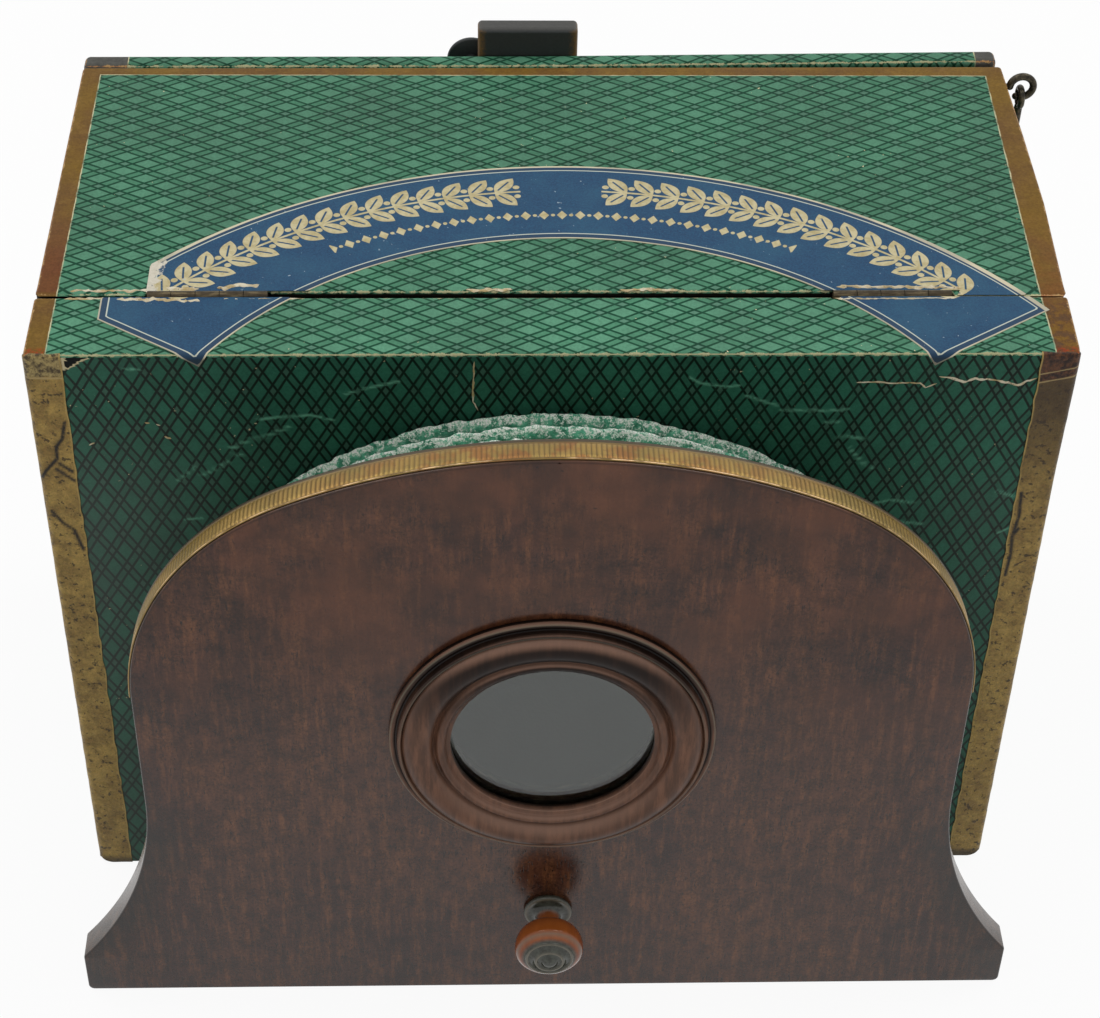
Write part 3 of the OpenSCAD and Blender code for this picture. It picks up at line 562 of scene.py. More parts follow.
def binding_colours(put, at, khaki=0.0):
    """Colour of brown binding paper: rubbed umber with rust and gilt-coloured patches, khaki and spotted
    with age."""
    broad = cloudy(at, 22, 3, 0.6, 2.0)
    mid = cloudy(at, 4, 4, 0.7, 6.0)
    fine = cloudy(at, 0.6, 3, 0.7, 8.0)
    colour = put("MixRGB", put("MapRange", broad, 0.36, 0.62), "#6E5029", "#7A5D25")
    colour = put("MixRGB", put("MapRange", mid, 0.5, 0.7, 0, 0.5), colour, "#8A6A33")
    y = put("SeparateXYZ", at)[1]
    right = put("MapRange", put("SeparateXYZ", at)[0], -5, 5)
    ahead = put("MapRange", y + mid * 20, -46, 16, 1, 0)
    rusty = right * ahead * put("MapRange", mid, 0.36, 0.6, 0.15, 0.7)
    colour = put("MixRGB", rusty, colour, "#7C481F")
    slot = put("MapRange", y, -38, -36) * put("MapRange", y, -30, 4, 1, 0)
    slot = (1 - right) * slot
    colour = put("MixRGB", slot * 0.7, colour, "#6B3826")
    stained = right * put("MapRange", y, -44, -38, 0.6, 0)
    colour = put("MixRGB", stained * put("MapRange", mid, 0.42, 0.56), colour, "#473C31")
    arris = put("MapRange", y, FRONT_Y + 1.6, FRONT_Y + 3.2, 1, 0) * put("MapRange", fine, 0.4, 0.6)
    colour = put("MixRGB", arris * 0.7, colour, "#9A3416")
    if khaki:
        aged = put("MixRGB", put("MapRange", mid, 0.3, 0.68), "#87703A", "#BA9D54")
        colour = put("MixRGB", khaki, colour, aged)
        spots = put("MapRange", cloudy(at, 1.3, 3, 0.6, 30.0), 0.58, 0.66)
        colour = put("MixRGB", spots * 0.8, colour, "#2A1E10")
    tone_shift = put("MapRange", fine, 0.25, 0.75, 0.76, 1.16)
    return put("HueSaturation", {"Value": tone_shift, "Color": colour})


def bound_edges(sides, rear=None, down=None, worn_top=False, shift=0.0):
    """Binding paper on a board: past sides from the middle, behind rear, and below down. A cream hairline
    shows the paper's own cut edge. With worn_top the upper ends are rubbed grey."""

    def cover(put, at, ink, cream):
        across = put("Attribute", attribute_name="across")["Fac"]
        past = abs(across - shift) - sides
        if rear is not None:
            past = put("Math", past, put("SeparateXYZ", at)[1] - rear, operation="MAXIMUM")
        if down is not None:
            past = put("Math", past, down - put("SeparateXYZ", at)[2], operation="MAXIMUM")
        jagged = (cloudy(at, 1.6, 3, 0.7, 40.0) - 0.5) * 0.35
        past = past + jagged
        amount = put("MapRange", past, -0.05, 0.05)
        hair = put("MapRange", past, -0.34, -0.16) * put("MapRange", past, -0.02, 0.1, 1, 0)
        patchy = put("MapRange", cloudy(at, 5, 3, 0.6, 44.0), 0.34, 0.6, 0.25, 0.95)
        binding = binding_colours(put, at)
        if worn_top:
            grey = put("MixRGB", cloudy(at, 1.5, 4, 0.7, 47.0), "#2B2C2B", "#6A6963")
            binding = put(
                "MixRGB", put("MapRange", put("SeparateXYZ", at)[2], TOP_Z - 4, TOP_Z - 2), binding, grey
            )
        colour = put("MixRGB", amount, ink, binding)
        colour = put("MixRGB", hair * patchy, colour, cream)
        return colour, amount

    return cover


# Inks of the printed paper: bands, their crossings, lines, and the cream of bare paper
TOP_INKS = ("#45795E", "#597C6B", "#073926", "#D8CFA6")
FRONT_INKS = ("#2A5C49", "#3F5F50", "#05190F", "#CDBE97")


def make_materials(paper, bellows, board):
    """All finishes of the viewer, by what they are for. Each is named for the real material."""
    kit = {}
    top_colours, front_colours = (paper.green, *TOP_INKS), (paper.front_green, *FRONT_INKS)
    kit["lid"] = printed_paper(
        "printed paper on the lid", "UV", (0, 1), paper.top_pitch, top_colours, paper,
        brown=bound_edges(115.0, REAR_Y - 3.3, TOP_Z - 1.2),
    )
    kit["strip"] = printed_paper(
        "printed paper on the strip", "UV", (0, 1), paper.top_pitch, top_colours, paper,
        brown=bound_edges(115.0),
    )
    kit["door"] = printed_paper(
        "printed paper on the door", "UV", (0, 1), paper.upright_pitch, top_colours, paper,
        brown=bound_edges(111.5, down=12.0, worn_top=True, shift=3.0),
    )
    kit["walls"] = printed_paper(
        "printed paper on the sides", "UV", (0, 1), paper.upright_pitch, top_colours, paper, creased=0.4
    )
    kit["front"] = printed_paper(
        "creased printed paper on the front", "Object", (0, 2), paper.upright_pitch, front_colours, paper,
        creased=0.9,
    )
    kit["corner"] = corner_binding()
    kit["label"] = label_paper(paper.blue)
    kit["tear"] = torn_paper()
    kit["bellows"] = bellows_paper(bellows.green)
    kit["board"] = polished_mahogany(board.wood)
    kit["moulding"] = turned_mahogany(
        "turned and polished mahogany", "#7C5845", "#584034", "#A58270", 0.3, 0.13, "#0C0706"
    )
    kit["knob"] = turned_mahogany("turned fruitwood", "#A2521C", "#7A3610", "#B4652A", 0.14, 0.38, "#100806")
    kit["gilt"] = gilt_strip(board.gilt)
    kit["glass"] = ground_glass()
    kit["brass"] = tarnished_brass()
    kit["iron"] = blued_iron()
    kit["ebonised"] = ebonised_wood()
    kit["plain wood"] = stained_wood()
    kit["black paper"] = lining_paper("matt black lining paper", "#14120F", 0.85)
    kit["white paper"] = lining_paper("aged white lining paper", "#CFC3A5", 0.75)
    return kit


def corner_binding():
    """Binding paper round the upright corners: creased, spotted, cracked through in places, khaki with age
    below the rusty wrap at the top."""
    material, put, shader = begin("binding paper on the corners")
    at = place_mm(put)
    z = put("SeparateXYZ", at)[2]
    colour = binding_colours(put, at, 0.85)
    mottled = cloudy(at, 10, 3, 0.6, 51.0)
    x = put("SeparateXYZ", at)[0]
    right = put("MapRange", x, -5, 5)
    # The wrap is folded over at the top: level on the left, slanting and in two folds on the right
    slant = right * (x * 0.24 - 28.9)
    above = z - (TOP_Z - 6.4) - slant
    top = put("MapRange", above + mottled * 4, 1.9, 2.8)
    patchy = put("MapRange", cloudy(at, 1.2, 4, 0.75, 57.0), 0.36, 0.64)
    left_wrap = put("MixRGB", patchy, "#443620", "#AE9963")
    wrap = put("MixRGB", right, left_wrap, put("MixRGB", patchy, "#200E06", "#623D24"))
    dark = right * put("MapRange", z, 118, 164)
    colour = put("MixRGB", dark * 0.85, colour, "#35261A")
    colour = put("MixRGB", top, colour, wrap)
    second = above - 2.5 + (1 - right) * 200
    seam = put("Math", abs(above), abs(second) + 0.04, operation="MINIMUM")
    hair = put("MapRange", seam + mottled * 0.5, 0.42, 0.62, 1, 0)
    colour = put("MixRGB", hair * 0.7, colour, "#B59E6C")
    cracks = put(
        "TexNoise",
        {"Vector": at, "Scale": 1 / 16, "Detail": 4, "Roughness": 0.6, "Distortion": 1.2},
        noise_type="RIDGED_MULTIFRACTAL",
    )
    split = put("MapRange", cracks, 1.5, 1.85)
    colour = put("MixRGB", split * 0.85, colour, "#1B140C")
    rim = put("Attribute", attribute_name="rim")["Fac"]
    gilt = put("MapRange", rim, 0.15, 0.5, 1, 0)
    colour = put("MixRGB", gilt * put("MapRange", mottled, 0.35, 0.6, 0.3, 0.9), colour, "#B89C5C")
    crack = put("Attribute", attribute_name="crack")["Fac"]
    broken = put("MapRange", cloudy(at, 1.0, 3, 0.7, 53.0), 0.3, 0.5, 0.7, 1)
    colour = put("MixRGB", crack * broken, colour, "#17110A")
    bend = put("Attribute", attribute_name="bend")["Fac"]
    rubbed = bend * put("MapRange", cloudy(at, 3, 3, 0.7, 55.0), 0.45, 0.65)
    colour = put("MixRGB", rubbed * 0.6, colour, "#2A2014")
    foot = put("MapRange", z + mottled * 4, 2.5, 6, 1, 0)
    colour = put("MixRGB", foot * 0.85, colour, "#2E2618")
    fill(shader, {"Base Color": colour, "Roughness": 0.42, "Specular IOR Level": 0.25})
    fine = cloudy(at, 1.2, 4, 0.7, 60.0)
    height = fine + put("MapRange", cracks, 0.6, 1.4) - split * 2
    raise_by(shader, height, 0.22)
    return material


def label_paper(blue):
    """Blue printed label: matt paper, navy band and pale line along its borders, worn cream ornament in two
    rows. The sheet's first coordinate runs along the curve, the second across it from the outer edge."""
    material, put, shader = begin("blue printed label")
    sheet = place_mm(put, "UV")
    at = place_mm(put)
    s, t = put("SeparateXYZ", sheet)[0], put("SeparateXYZ", sheet)[1]
    border = put("Attribute", attribute_name="border")["Fac"]
    cream, pale, navy = "#D6CDB0", "#C8CEC0", "#1B3B56"
    fine = cloudy(at, 0.45, 3, 0.8, 70.0)
    field = put("MixRGB", put("MapRange", fine, 0.3, 0.75), blue, "#1D5172")
    field = put(
        "MixRGB", put("MapRange", cloudy(at, 16, 3, 0.6, 71.0), 0.4, 0.7, 0, 0.35), field, "#2E6079"
    )
    edge = put("MixRGB", put("MapRange", border, 1.7, 1.8), navy, pale)
    colour = put("MixRGB", put("MapRange", border, 2.02, 2.12), edge, field)
    shown = put("MapRange", cloudy(at, 18, 2, 0.5, 73.0), 0.42, 0.55, 0.75, 1.0)
    rim = put("MapRange", border, 0.3, 0.42, 1, 0)
    wide = put("MapRange", abs(put("SeparateXYZ", at)[0]), 62, 104, 0, 0.6)
    rim = put("Math", rim, put("MapRange", t - wide, 0.52, 0.66, 1, 0), operation="MAXIMUM")
    colour = put("MixRGB", rim * shown, colour, cream)
    # Large row: a garland 12 mm high whose leaves lie in pairs on both sides of a stem, with berries between
    # them. A leaf is a parabola's width on both sides of its own slanting midrib
    away = abs(s)
    pitch, length, plump = 6.1, 7.5, 1.95
    u = put("Math", 0 - (away - 9.5), pitch, 0, operation="WRAP")
    v = abs(t - 10.6)
    cos, sin = math.cos(math.radians(50)), math.sin(math.radians(50))
    p = u * cos + v * sin
    q = abs(v * cos - u * sin)
    part = p / length
    width = part * (1 - part) * (4 * plump)
    leaf = put("MapRange", width - q, -0.05, 0.12)
    rib = put("MapRange", q, 0.16, 0.3, 1, 0) * put("MapRange", part, 0.15, 0.2)
    leaf = put(
        "Math", leaf, rib * put("MapRange", part, 0.72, 0.8, 1, 0), operation="SUBTRACT", use_clamp=True
    )
    side = u - (pitch - 0.9)
    rise = v - 1.9
    berry = side * side + rise * rise
    berry = put("MapRange", berry, 0.5, 0.75, 1, 0)
    stem = put("MapRange", v, 0.26, 0.38, 1, 0)
    large = put("Math", put("Math", leaf, berry, operation="MAXIMUM"), stem, operation="MAXIMUM")
    large = large * put("MapRange", v, 6.2, 6.3, 1, 0)
    large = large * put("MapRange", away, 9.5, 9.6)
    large = large * put("MapRange", away, 101, 101.1, 1, 0)
    # Small row: lozenges with a dot between each two
    along = put("Math", s, 2.3, operation="PINGPONG")
    up = abs(t - 20.9)
    lozenge = along / 1.35 + up / 1.8
    far = 2.3 - along
    dot = far * far + up * up
    small = put(
        "Math", put("MapRange", lozenge, 0.9, 1.05, 1, 0), put("MapRange", dot, 0.2, 0.36, 1, 0),
        operation="MAXIMUM",
    )
    small = small * put("MapRange", away, 60, 60.1, 1, 0)
    motif = put("Math", large, small, operation="MAXIMUM")
    stained = put("MixRGB", put("MapRange", cloudy(at, 2.5, 4, 0.7, 76.0), 0.35, 0.7), "#CFC49C", "#B5A678")
    colour = put("MixRGB", motif, colour, stained)
    # Torn to the paper's core at the left end
    x, y = put("SeparateXYZ", at)[0], put("SeparateXYZ", at)[1]
    ragged = (cloudy(at, 3, 4, 0.7, 83.0) - 0.5) * 9
    torn = -91.9 - x + ragged
    torn = put("MapRange", torn, -0.4, 0.4) * put("MapRange", y, LID_FRONT_Y - 0.5, LID_FRONT_Y)
    rag = put("MixRGB", cloudy(at, 0.8, 4, 0.7, 85.0), "#B7AF98", "#EDE7D8")
    colour = put("MixRGB", torn, colour, rag)
    # Painted shade on the part of the label that hangs down over the front arris
    painted_hang_shade = put("MapRange", put("SeparateXYZ", at)[2], TOP_Z - 1.5, TOP_Z - 0.6, 0.65, 0)
    colour = put("MixRGB", painted_hang_shade, colour, "#14272E")
    scuffs = put("MapRange", cloudy(at, 1.2, 3, 0.6, 80.0), 0.7, 0.74)
    colour = put("MixRGB", scuffs * 0.7, colour, "#AFC0CC")
    fill(shader, {"Base Color": colour, "Roughness": 0.6, "Specular IOR Level": 0.3})
    raise_by(shader, fine, 0.05)
    return material


def torn_paper():
    """Torn rag paper: the cream core of the covering paper, fibrous, with stains and remnants of print."""
    material, put, shader = begin("torn rag paper")
    at = place_mm(put)
    fine = cloudy(at, 0.5, 4, 0.7, 90.0)
    colour = put("MixRGB", put("MapRange", cloudy(at, 3, 3, 0.6, 91.0), 0.35, 0.65), "#E0D6BC", "#B39C6B")
    colour = put(
        "MixRGB", put("MapRange", cloudy(at, 1.5, 3, 0.7, 93.0), 0.6, 0.7, 0, 0.8), colour, "#4B3A22"
    )
    fill(shader, {"Base Color": colour, "Roughness": 0.8})
    raise_by(shader, fine, 0.1)
    return material


def bellows_paper(green):
    """Green paper glued on cloth and folded: puckered, its ridges frayed to pale fibres, its valleys darkened
    with painted shade.
    """
    material, put, shader = begin("folded paper and cloth")
    at = place_mm(put)
    fine = cloudy(at, 0.5, 4, 0.7, 100.0)
    mid = cloudy(at, 3.2, 4, 0.7, 101.0)
    colour = put("MixRGB", put("MapRange", mid, 0.32, 0.66), green, "#68BC99")
    ridge = put("Attribute", attribute_name="ridge")["Fac"]
    limit = put("MapRange", cloudy(at, 1.6, 5, 0.8, 103.0), 0.38, 0.6, 1.0, 0.45)
    sound = put("MapRange", put("SeparateXYZ", at)[2], 60, 140, 0.3, 0)
    bare = put("MapRange", ridge - limit - sound, -0.08, 0.08)
    thread = put("MixRGB", put("MapRange", fine, 0.38, 0.56), "#95C4AA", "#FFFFF6")
    colour = put("MixRGB", bare * 0.95, colour, thread)
    scratch = put(
        "MapRange", cloudy(place_mm(put, "Object", (1.4, 0.5, 1)), 0.9, 4, 0.75, 107.0), 0.64, 0.7
    )
    colour = put("MixRGB", scratch * 0.6, colour, "#D5DFCE")
    # Painted shade: the valleys of the folds and the inner skin are darkened
    painted_shade = put("MapRange", ridge, 0.05, 0.65, 0.08, 1.15)
    colour = put("HueSaturation", {"Value": painted_shade, "Color": colour})
    fill(shader, {"Base Color": colour, "Roughness": 0.7})
    raise_by(shader, fine + mid, 0.25)
    return material


def polished_mahogany(wood):
    """Old mahogany board, stained and french polished: dark red-brown under a thin soft gloss, vertical
    figure, open pores, small pits and pale rubbed patches."""
    material, put, shader = begin("french polished mahogany")
    at = place_mm(put)
    grain_at = place_mm(put, "Object", (1, 1, 0.12))
    broad = cloudy(place_mm(put, "Object", (1, 1, 0.45)), 30, 3, 0.6, 110.0)
    colour = put("MixRGB", put("MapRange", broad, 0.34, 0.68), wood, "#462A1D")
    figure = cloudy(grain_at, 1.9, 4, 0.7, 112.0)
    colour = put("MixRGB", put("MapRange", figure, 0.42, 0.7, 0, 0.65), colour, "#6A4226")
    mottle = cloudy(at, 0.8, 3, 0.75, 113.0) + cloudy(at, 5, 4, 0.7, 114.0)
    colour = put("HueSaturation", {"Value": put("MapRange", mottle, 0.7, 1.3, 0.4, 1.62), "Color": colour})
    pores = cloudy(place_mm(put, "Object", (1, 1, 0.2)), 0.42, 2, 0.5, 115.0)
    pits = put("MapRange", pores, 0.6, 0.72)
    colour = put("MixRGB", pits * 0.85, colour, "#170C09")
    crown = put("MapRange", put("SeparateXYZ", at)[2], 60, 165)
    rust = put("MapRange", cloudy(at, 30, 3, 0.6, 118.0), 0.38, 0.62, 0, 0.75)
    colour = put("MixRGB", rust * crown, colour, "#5E3620")
    patches = put("MapRange", cloudy(at, 16, 3, 0.6, 127.0), 0.36, 0.64, -0.26, 0.26)
    patches = patches * crown + 1
    colour = put("HueSaturation", {"Value": patches, "Color": colour})
    flaws = put("MapRange", cloudy(at, 1.3, 2, 0.5, 121.0), 0.73, 0.76)
    colour = put("MixRGB", flaws * 0.6, colour, "#120806")
    edge = put("Attribute", attribute_name="edge")["Fac"]
    rubbed = put("MapRange", edge, 0.0, 0.7, 1, 0)
    side = put("Attribute", attribute_name="side")["Fac"]
    haze = cloudy(at, 9, 4, 0.7, 124.0)
    plain = put("MixRGB", put("MapRange", figure, 0.4, 0.7), "#584636", "#7A6350")
    colour = put("MixRGB", side * 0.9, colour, plain)
    worn = put("MapRange", edge - haze * 5, -2.2, 0.6, 1, 0)
    low = put("MapRange", put("SeparateXYZ", at)[2], 55, 80, 1, 0)
    face = (1 - side) * low
    colour = put("MixRGB", worn * face * 0.6, colour, "#1C1F1C")
    colour = put("MixRGB", rubbed * 0.5, colour, "#1F1410")
    gloss = put("MapRange", haze, 0.3, 0.7, 0.2, 0.28)
    shine = put("MapRange", crown, 0, 1, 0.44, 0.33)
    fill(shader, {"Base Color": colour, "Roughness": gloss, "Specular IOR Level": shine})
    height = figure * 0.5 - pits
    raise_by(shader, height, 0.03, 0.6)
    return material


def turned_mahogany(name, light, dark, painted_light_tone, gloss, shine, painted_shade):
    """Wood turned on a lathe and polished: fine grain across the piece, painted light on faces that look up,
    painted shade on faces that look down and on the upper part, painted glints on the crests, and grey grime
    with a painted floor reflection where asked."""
    material, put, shader = begin(name)
    at = place_mm(put)
    grain = cloudy(place_mm(put, "Object", (1, 0.3, 0.14)), 1.6, 4, 0.65, 130.0)
    clouds = cloudy(at, 12, 3, 0.6, 132.0)
    colour = put("MixRGB", put("MapRange", grain, 0.36, 0.68), dark, light)
    colour = put("MixRGB", put("MapRange", clouds, 0.4, 0.7, 0, 0.5), colour, dark)
    dull = put("Attribute", attribute_name="dull")["Fac"]
    # Painted light and shade: faces that look up are painted lighter, faces that look down darker
    faded = put("Attribute", attribute_name="faded")["Fac"]
    colour = put("MixRGB", put("MapRange", faded, 0.15, 0.5, 0.92, 0), colour, painted_shade)
    colour = put("MixRGB", put("MapRange", faded, 0.5, 0.95, 0, 0.7), colour, painted_light_tone)
    # Painted shade over the upper part, except on faces that look up
    painted_upper_shade = put("MapRange", put("SeparateXYZ", at)[2], 98, 122, 0, 0.9) * put(
        "MapRange", faded, 0.62, 0.85, 1, 0
    )
    colour = put("MixRGB", painted_upper_shade, colour, painted_shade)
    # Grey grime and a painted reflection of the pale floor, where the attribute asks
    grey_of_dirt_and_reflection = put("MixRGB", put("MapRange", cloudy(at, 1.4, 4, 0.7, 134.0), 0.35, 0.65), "#33342C", "#4E5148")
    colour = put("MixRGB", dull, colour, grey_of_dirt_and_reflection)
    # Painted glints on the crests of beads and rings
    crest = put("Attribute", attribute_name="crest")["Fac"]
    colour = put("MixRGB", crest * 0.8, colour, "#7F7766")
    fill(shader, {"Base Color": colour, "Roughness": gloss, "Specular IOR Level": shine})
    raise_by(shader, grain, 0.03, 0.5)
    return material


def gilt_strip(gilt):
    """Rolled brass strip with milled ribs, lacquered gold once: ochre, copper-red where the lacquer went,
    dull in the grooves."""
    material, put, shader = begin("milled gilt strip")
    at = place_mm(put)
    broad = cloudy(at, 14, 3, 0.6, 140.0)
    fine = cloudy(at, 0.9, 4, 0.7, 142.0)
    colour = put("MixRGB", put("MapRange", broad, 0.36, 0.62), gilt, "#A08244")
    middle = put("MapRange", abs(put("SeparateXYZ", at)[0]), 15, 75, 1, 0)
    copper = middle * put("MapRange", cloudy(at, 5, 3, 0.6, 144.0), 0.45, 0.62)
    colour = put("MixRGB", copper * 0.6, colour, "#8E5228")
    # Painted highlight along the front lip; painted shade where the strip meets the board and beside the
    # ribs; a grey border at the back
    lip = put("Attribute", attribute_name="lip")["Fac"]
    shine = put("MixRGB", put("MapRange", cloudy(at, 7, 3, 0.7, 146.0), 0.38, 0.62), "#6E5632", "#E2BE90")
    colour = put("MixRGB", put("MapRange", lip, 0.2, 0.9), colour, shine)
    colour = put("MixRGB", put("MapRange", lip, -0.2, -0.9), colour, "#4C4130")
    low = put("Attribute", attribute_name="groove")["Fac"]
    colour = put("MixRGB", low * 0.85, colour, "#3A2B14")
    colour = put("MixRGB", put("MapRange", fine, 0.55, 0.75, 0, 0.5), colour, "#4E3C20")
    fill(shader, {"Base Color": colour, "Metallic": 0.55, "Roughness": 0.42})
    raise_by(shader, fine, 0.04)
    return material


def ground_glass():
    """Polished crown glass: clear, faintly grey-green; it mirrors the floor over the dark cabin."""
    material, _, shader = begin("polished crown glass")
    fill(shader, {"Base Color": "#E4ECE6", "Transmission Weight": 1.0, "IOR": 1.54, "Roughness": 0.0})
    return material


def tarnished_brass():
    """Drawn brass, long tarnished: brown-olive with rubbed streaks."""
    material, put, shader = begin("tarnished brass")
    at = place_mm(put)
    streaks = cloudy(place_mm(put, "Object", (0.2, 1, 1)), 0.8, 3, 0.6, 160.0)
    colour = put("MixRGB", put("MapRange", streaks, 0.4, 0.7), "#3A3226", "#665A42")
    colour = put(
        "MixRGB", put("MapRange", cloudy(at, 3, 3, 0.6, 161.0), 0.45, 0.65, 0, 0.7), colour, "#30281C"
    )
    fill(shader, {"Base Color": colour, "Metallic": 0.8, "Roughness": 0.42})
    raise_by(shader, streaks, 0.04)
    return material


def blued_iron():
    """Iron wire, drawn and blackened: brown-black with a soft sheen."""
    material, put, shader = begin("blackened iron wire")
    at = place_mm(put)
    mid = cloudy(at, 1.2, 4, 0.7, 170.0)
    colour = put("MixRGB", put("MapRange", mid, 0.35, 0.7), "#26221B", "#57503F")
    fill(shader, {"Base Color": colour, "Metallic": 0.75, "Roughness": 0.38})
    raise_by(shader, mid, 0.05)
    return material


def ebonised_wood():
    """Wood stained black, rubbed brown at its corners and grey on top."""
    material, put, shader = begin("ebonised wood")
    at = place_mm(put)
    fine = cloudy(at, 0.8, 4, 0.7, 180.0)
    colour = put("MixRGB", fine, "#171A1B", "#2E3232")
    side = put("MapRange", put("Attribute", attribute_name="edge")["Fac"] + fine * 4, 1.8, 4.6, 1, 0)
    colour = put("MixRGB", side * 0.85, colour, "#745426")
    grey = put("MixRGB", fine, "#1E1E1C", "#403F3A")
    colour = put("MixRGB", put("Attribute", attribute_name="top")["Fac"] * 0.95, colour, grey)
    fill(shader, {"Base Color": colour, "Roughness": 0.5})
    raise_by(shader, fine, 0.06)
    return material


def stained_wood():
    """Plain softwood, stained dark and left unpolished."""
    material, put, shader = begin("stained softwood")
    grain = cloudy(place_mm(put, "Object", (1, 1, 0.1)), 1.4, 4, 0.6, 190.0)
    colour = put("MixRGB", put("MapRange", grain, 0.35, 0.7), "#2E2118", "#5A412B")
    fill(shader, {"Base Color": colour, "Roughness": 0.65})
    raise_by(shader, grain, 0.08)
    return material


def lining_paper(name, colour_code, roughness):
    """Thin lining paper, matt, foxed and a little uneven."""
    material, put, shader = begin(name)
    at = place_mm(put)
    broad = cloudy(at, 18, 4, 0.6, 200.0)
    fine = cloudy(at, 0.6, 3, 0.7, 202.0)
    colour = put(
        "HueSaturation",
        {
            "Value": put("MapRange", broad, 0.3, 0.7, 0.8, 1.12) * put(
                "MapRange", fine, 0.2, 0.8, 0.9, 1.08
            ),
            "Color": colour_code,
        },
    )
    fill(shader, {"Base Color": colour, "Roughness": roughness})
    raise_by(shader, fine, 0.05)
    return material


KIT = {}


def finish_of(name):
    """A finish, made with all the others when first asked for."""
    if not KIT:
        scene = bpy.context.scene
        KIT.update(make_materials(scene.viewer_paper, scene.viewer_bellows, scene.viewer_board))
    return KIT[name]


def dress(nodes, finish):
    """Gives CAD nodes whose shape is right a finish."""
    for name in nodes:
        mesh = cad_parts[name].data
        mesh.materials.clear()
        mesh.materials.append(finish_of(finish))


# Shapes of the box


def notch(part, y, sign):
    """Cuts the hinge barrels' room into a board's slot edge: points near the edge move back at the hinges."""
    p = part["p"]
    near = np.clip(1 - np.abs(p[:, 1] - y) / 1.2, 0, 1) * (p[:, 2] > TOP_Z - 2.3)
    for low, high in HINGE_SPANS:
        inside = (p[:, 0] > low - 0.01) & (p[:, 0] < high + 0.01)
        p[:, 1] += sign * 0.45 * np.minimum(near * 1.6, 1) * inside
    return part


def blunt_foot(points, corner, radius=4.0):
    """Wears a box's lower corner round: near its upright edge nothing reaches below a quarter circle."""
    away = np.hypot(points[:, 0] - corner[0], points[:, 1] - corner[1])
    depth = np.clip(radius - away, 0, radius)
    floor = radius - np.sqrt(np.clip(radius**2 - depth**2, 0, None))
    low = np.clip(points[:, 2] / radius, 0, 1)
    points[:, 2] = np.where(points[:, 2] < radius, floor + (radius - floor) * low, points[:, 2])
    return points


def angle_strip(side):
    """Paper angle round an upright corner: an L-shaped profile with a rounded bend, carried up in Z. Its
    free edges wander by a third of a millimetre."""
    (x0, y0, _), (x1, y1, z1) = span("right_front_edging")
    thick = x1 - HALF_W
    bend = 1.6
    front = np.linspace(x0, x1 - bend, 24)
    turn = np.radians(np.linspace(-90, 0, 9))
    outer = np.concatenate(
        [
            np.stack([front, np.full(24, y0)], -1),
            np.stack([x1 - bend + bend * np.cos(turn), y0 + bend + bend * np.sin(turn)], -1)[1:-1],
            np.stack([np.full(10, x1), np.linspace(y0 + bend, y1, 10)], -1),
        ]
    )
    core = np.clip(outer, [-1e9, y0 + bend], [x1 - bend, 1e9])
    normal = outer - core
    normal /= np.maximum(np.linalg.norm(normal, axis=1, keepdims=True), 1e-9)
    inner = outer - normal * thick
    ring = np.concatenate([outer, inner[::-1]])
    count = len(ring)
    z = np.concatenate(
        [
            [0, 0.4, 0.9, 1.5, 2.2, 3.0], np.linspace(4, z1 - 1.2, 300),
            z1 - np.array([1.0, 0.8, 0.55, 0.3, 0.12, 0]),
        ]
    )
    points = np.empty((len(z), count, 3))
    points[..., 0], points[..., 1], points[..., 2] = ring[:, 0], ring[:, 1], z[:, None]
    free = np.zeros(count)
    free[:12] = np.linspace(1, 0, 12)
    free[-12:] = np.linspace(0, 1, 12)
    points[..., 0] += free * 0.2 * rough(z[:, None], 3.0 + 0 * ring[:, 0], 5 + side, 3.0)
    ripple = 0.05 * rough(points[..., 0] * 1.3 + z[:, None], z[:, None], 7 + side, 4.0)
    out = np.concatenate([normal, normal[::-1]])
    points[..., :2] += out * np.clip(ripple, -0.05, 0.05)[..., None]
    # The top end follows the rounded arris of the boards above
    over = np.clip(points[..., 2] - z1 + 1.0, 0, 1.0)
    points[..., :2] -= out * (1.0 - np.sqrt(1.0 - over**2))[..., None]
    # The side leaf ends under the strip's own paper, and the right corner is a little swollen at the top
    high = np.clip((points[..., 2] - z1 + 3) / 3, 0, 1)
    points[..., 2] -= 1.2 * high * np.clip((points[..., 1] - y0 - 1.2) / 1.5, 0, 1)
    if side > 0:
        points[..., 0] += 0.5 * np.clip((points[..., 2] - 140) / 30, 0, 1) * np.clip(
            (points[..., 0] - 112) / 6, 0, 1
        )
    flat = points.reshape(-1, 3)
    blunt_foot(flat, (x1, y0))
    points = flat.reshape(points.shape)
    run = np.concatenate([[0], np.cumsum(np.hypot(*np.diff(outer, axis=0).T))])
    rim = np.minimum(run, run[-1] - run)
    bent = np.exp(-(((run - run[23] - 1.2) / 0.9) ** 2))
    rim, bent = np.concatenate([rim, rim[::-1]]), np.concatenate([bent, bent[::-1]])
    x, up = points[..., 0] + 30 * (points[..., 1] > y0 + 1), points[..., 2]
    crack = np.min([near_line(x, up, path) for path in (LEFT_CRACKS if side < 0 else RIGHT_CRACKS)], axis=0)
    crack = np.clip(1.6 - crack / 0.4, 0, 1)
    body = patch(
        points, close_cols=True, rim=np.tile(rim, (len(z), 1)), bend=np.tile(bent, (len(z), 1)), crack=crack
    )
    caps = []
    for k in (0, -1):
        pair = np.stack([points[k][: count // 2], points[k][::-1][: count // 2]])
        marks = [np.tile(a[: count // 2], (2, 1)) for a in (rim, bent, 0 * rim)]
        caps.append(patch(pair, rim=marks[0], bend=marks[1], crack=marks[2]))
    caps[1]["q"] = caps[1]["q"][:, ::-1]
    whole = join(outwards(body), *caps)
    whole["p"][:, 0] *= side
    return match_caps(whole, len(body["q"]))


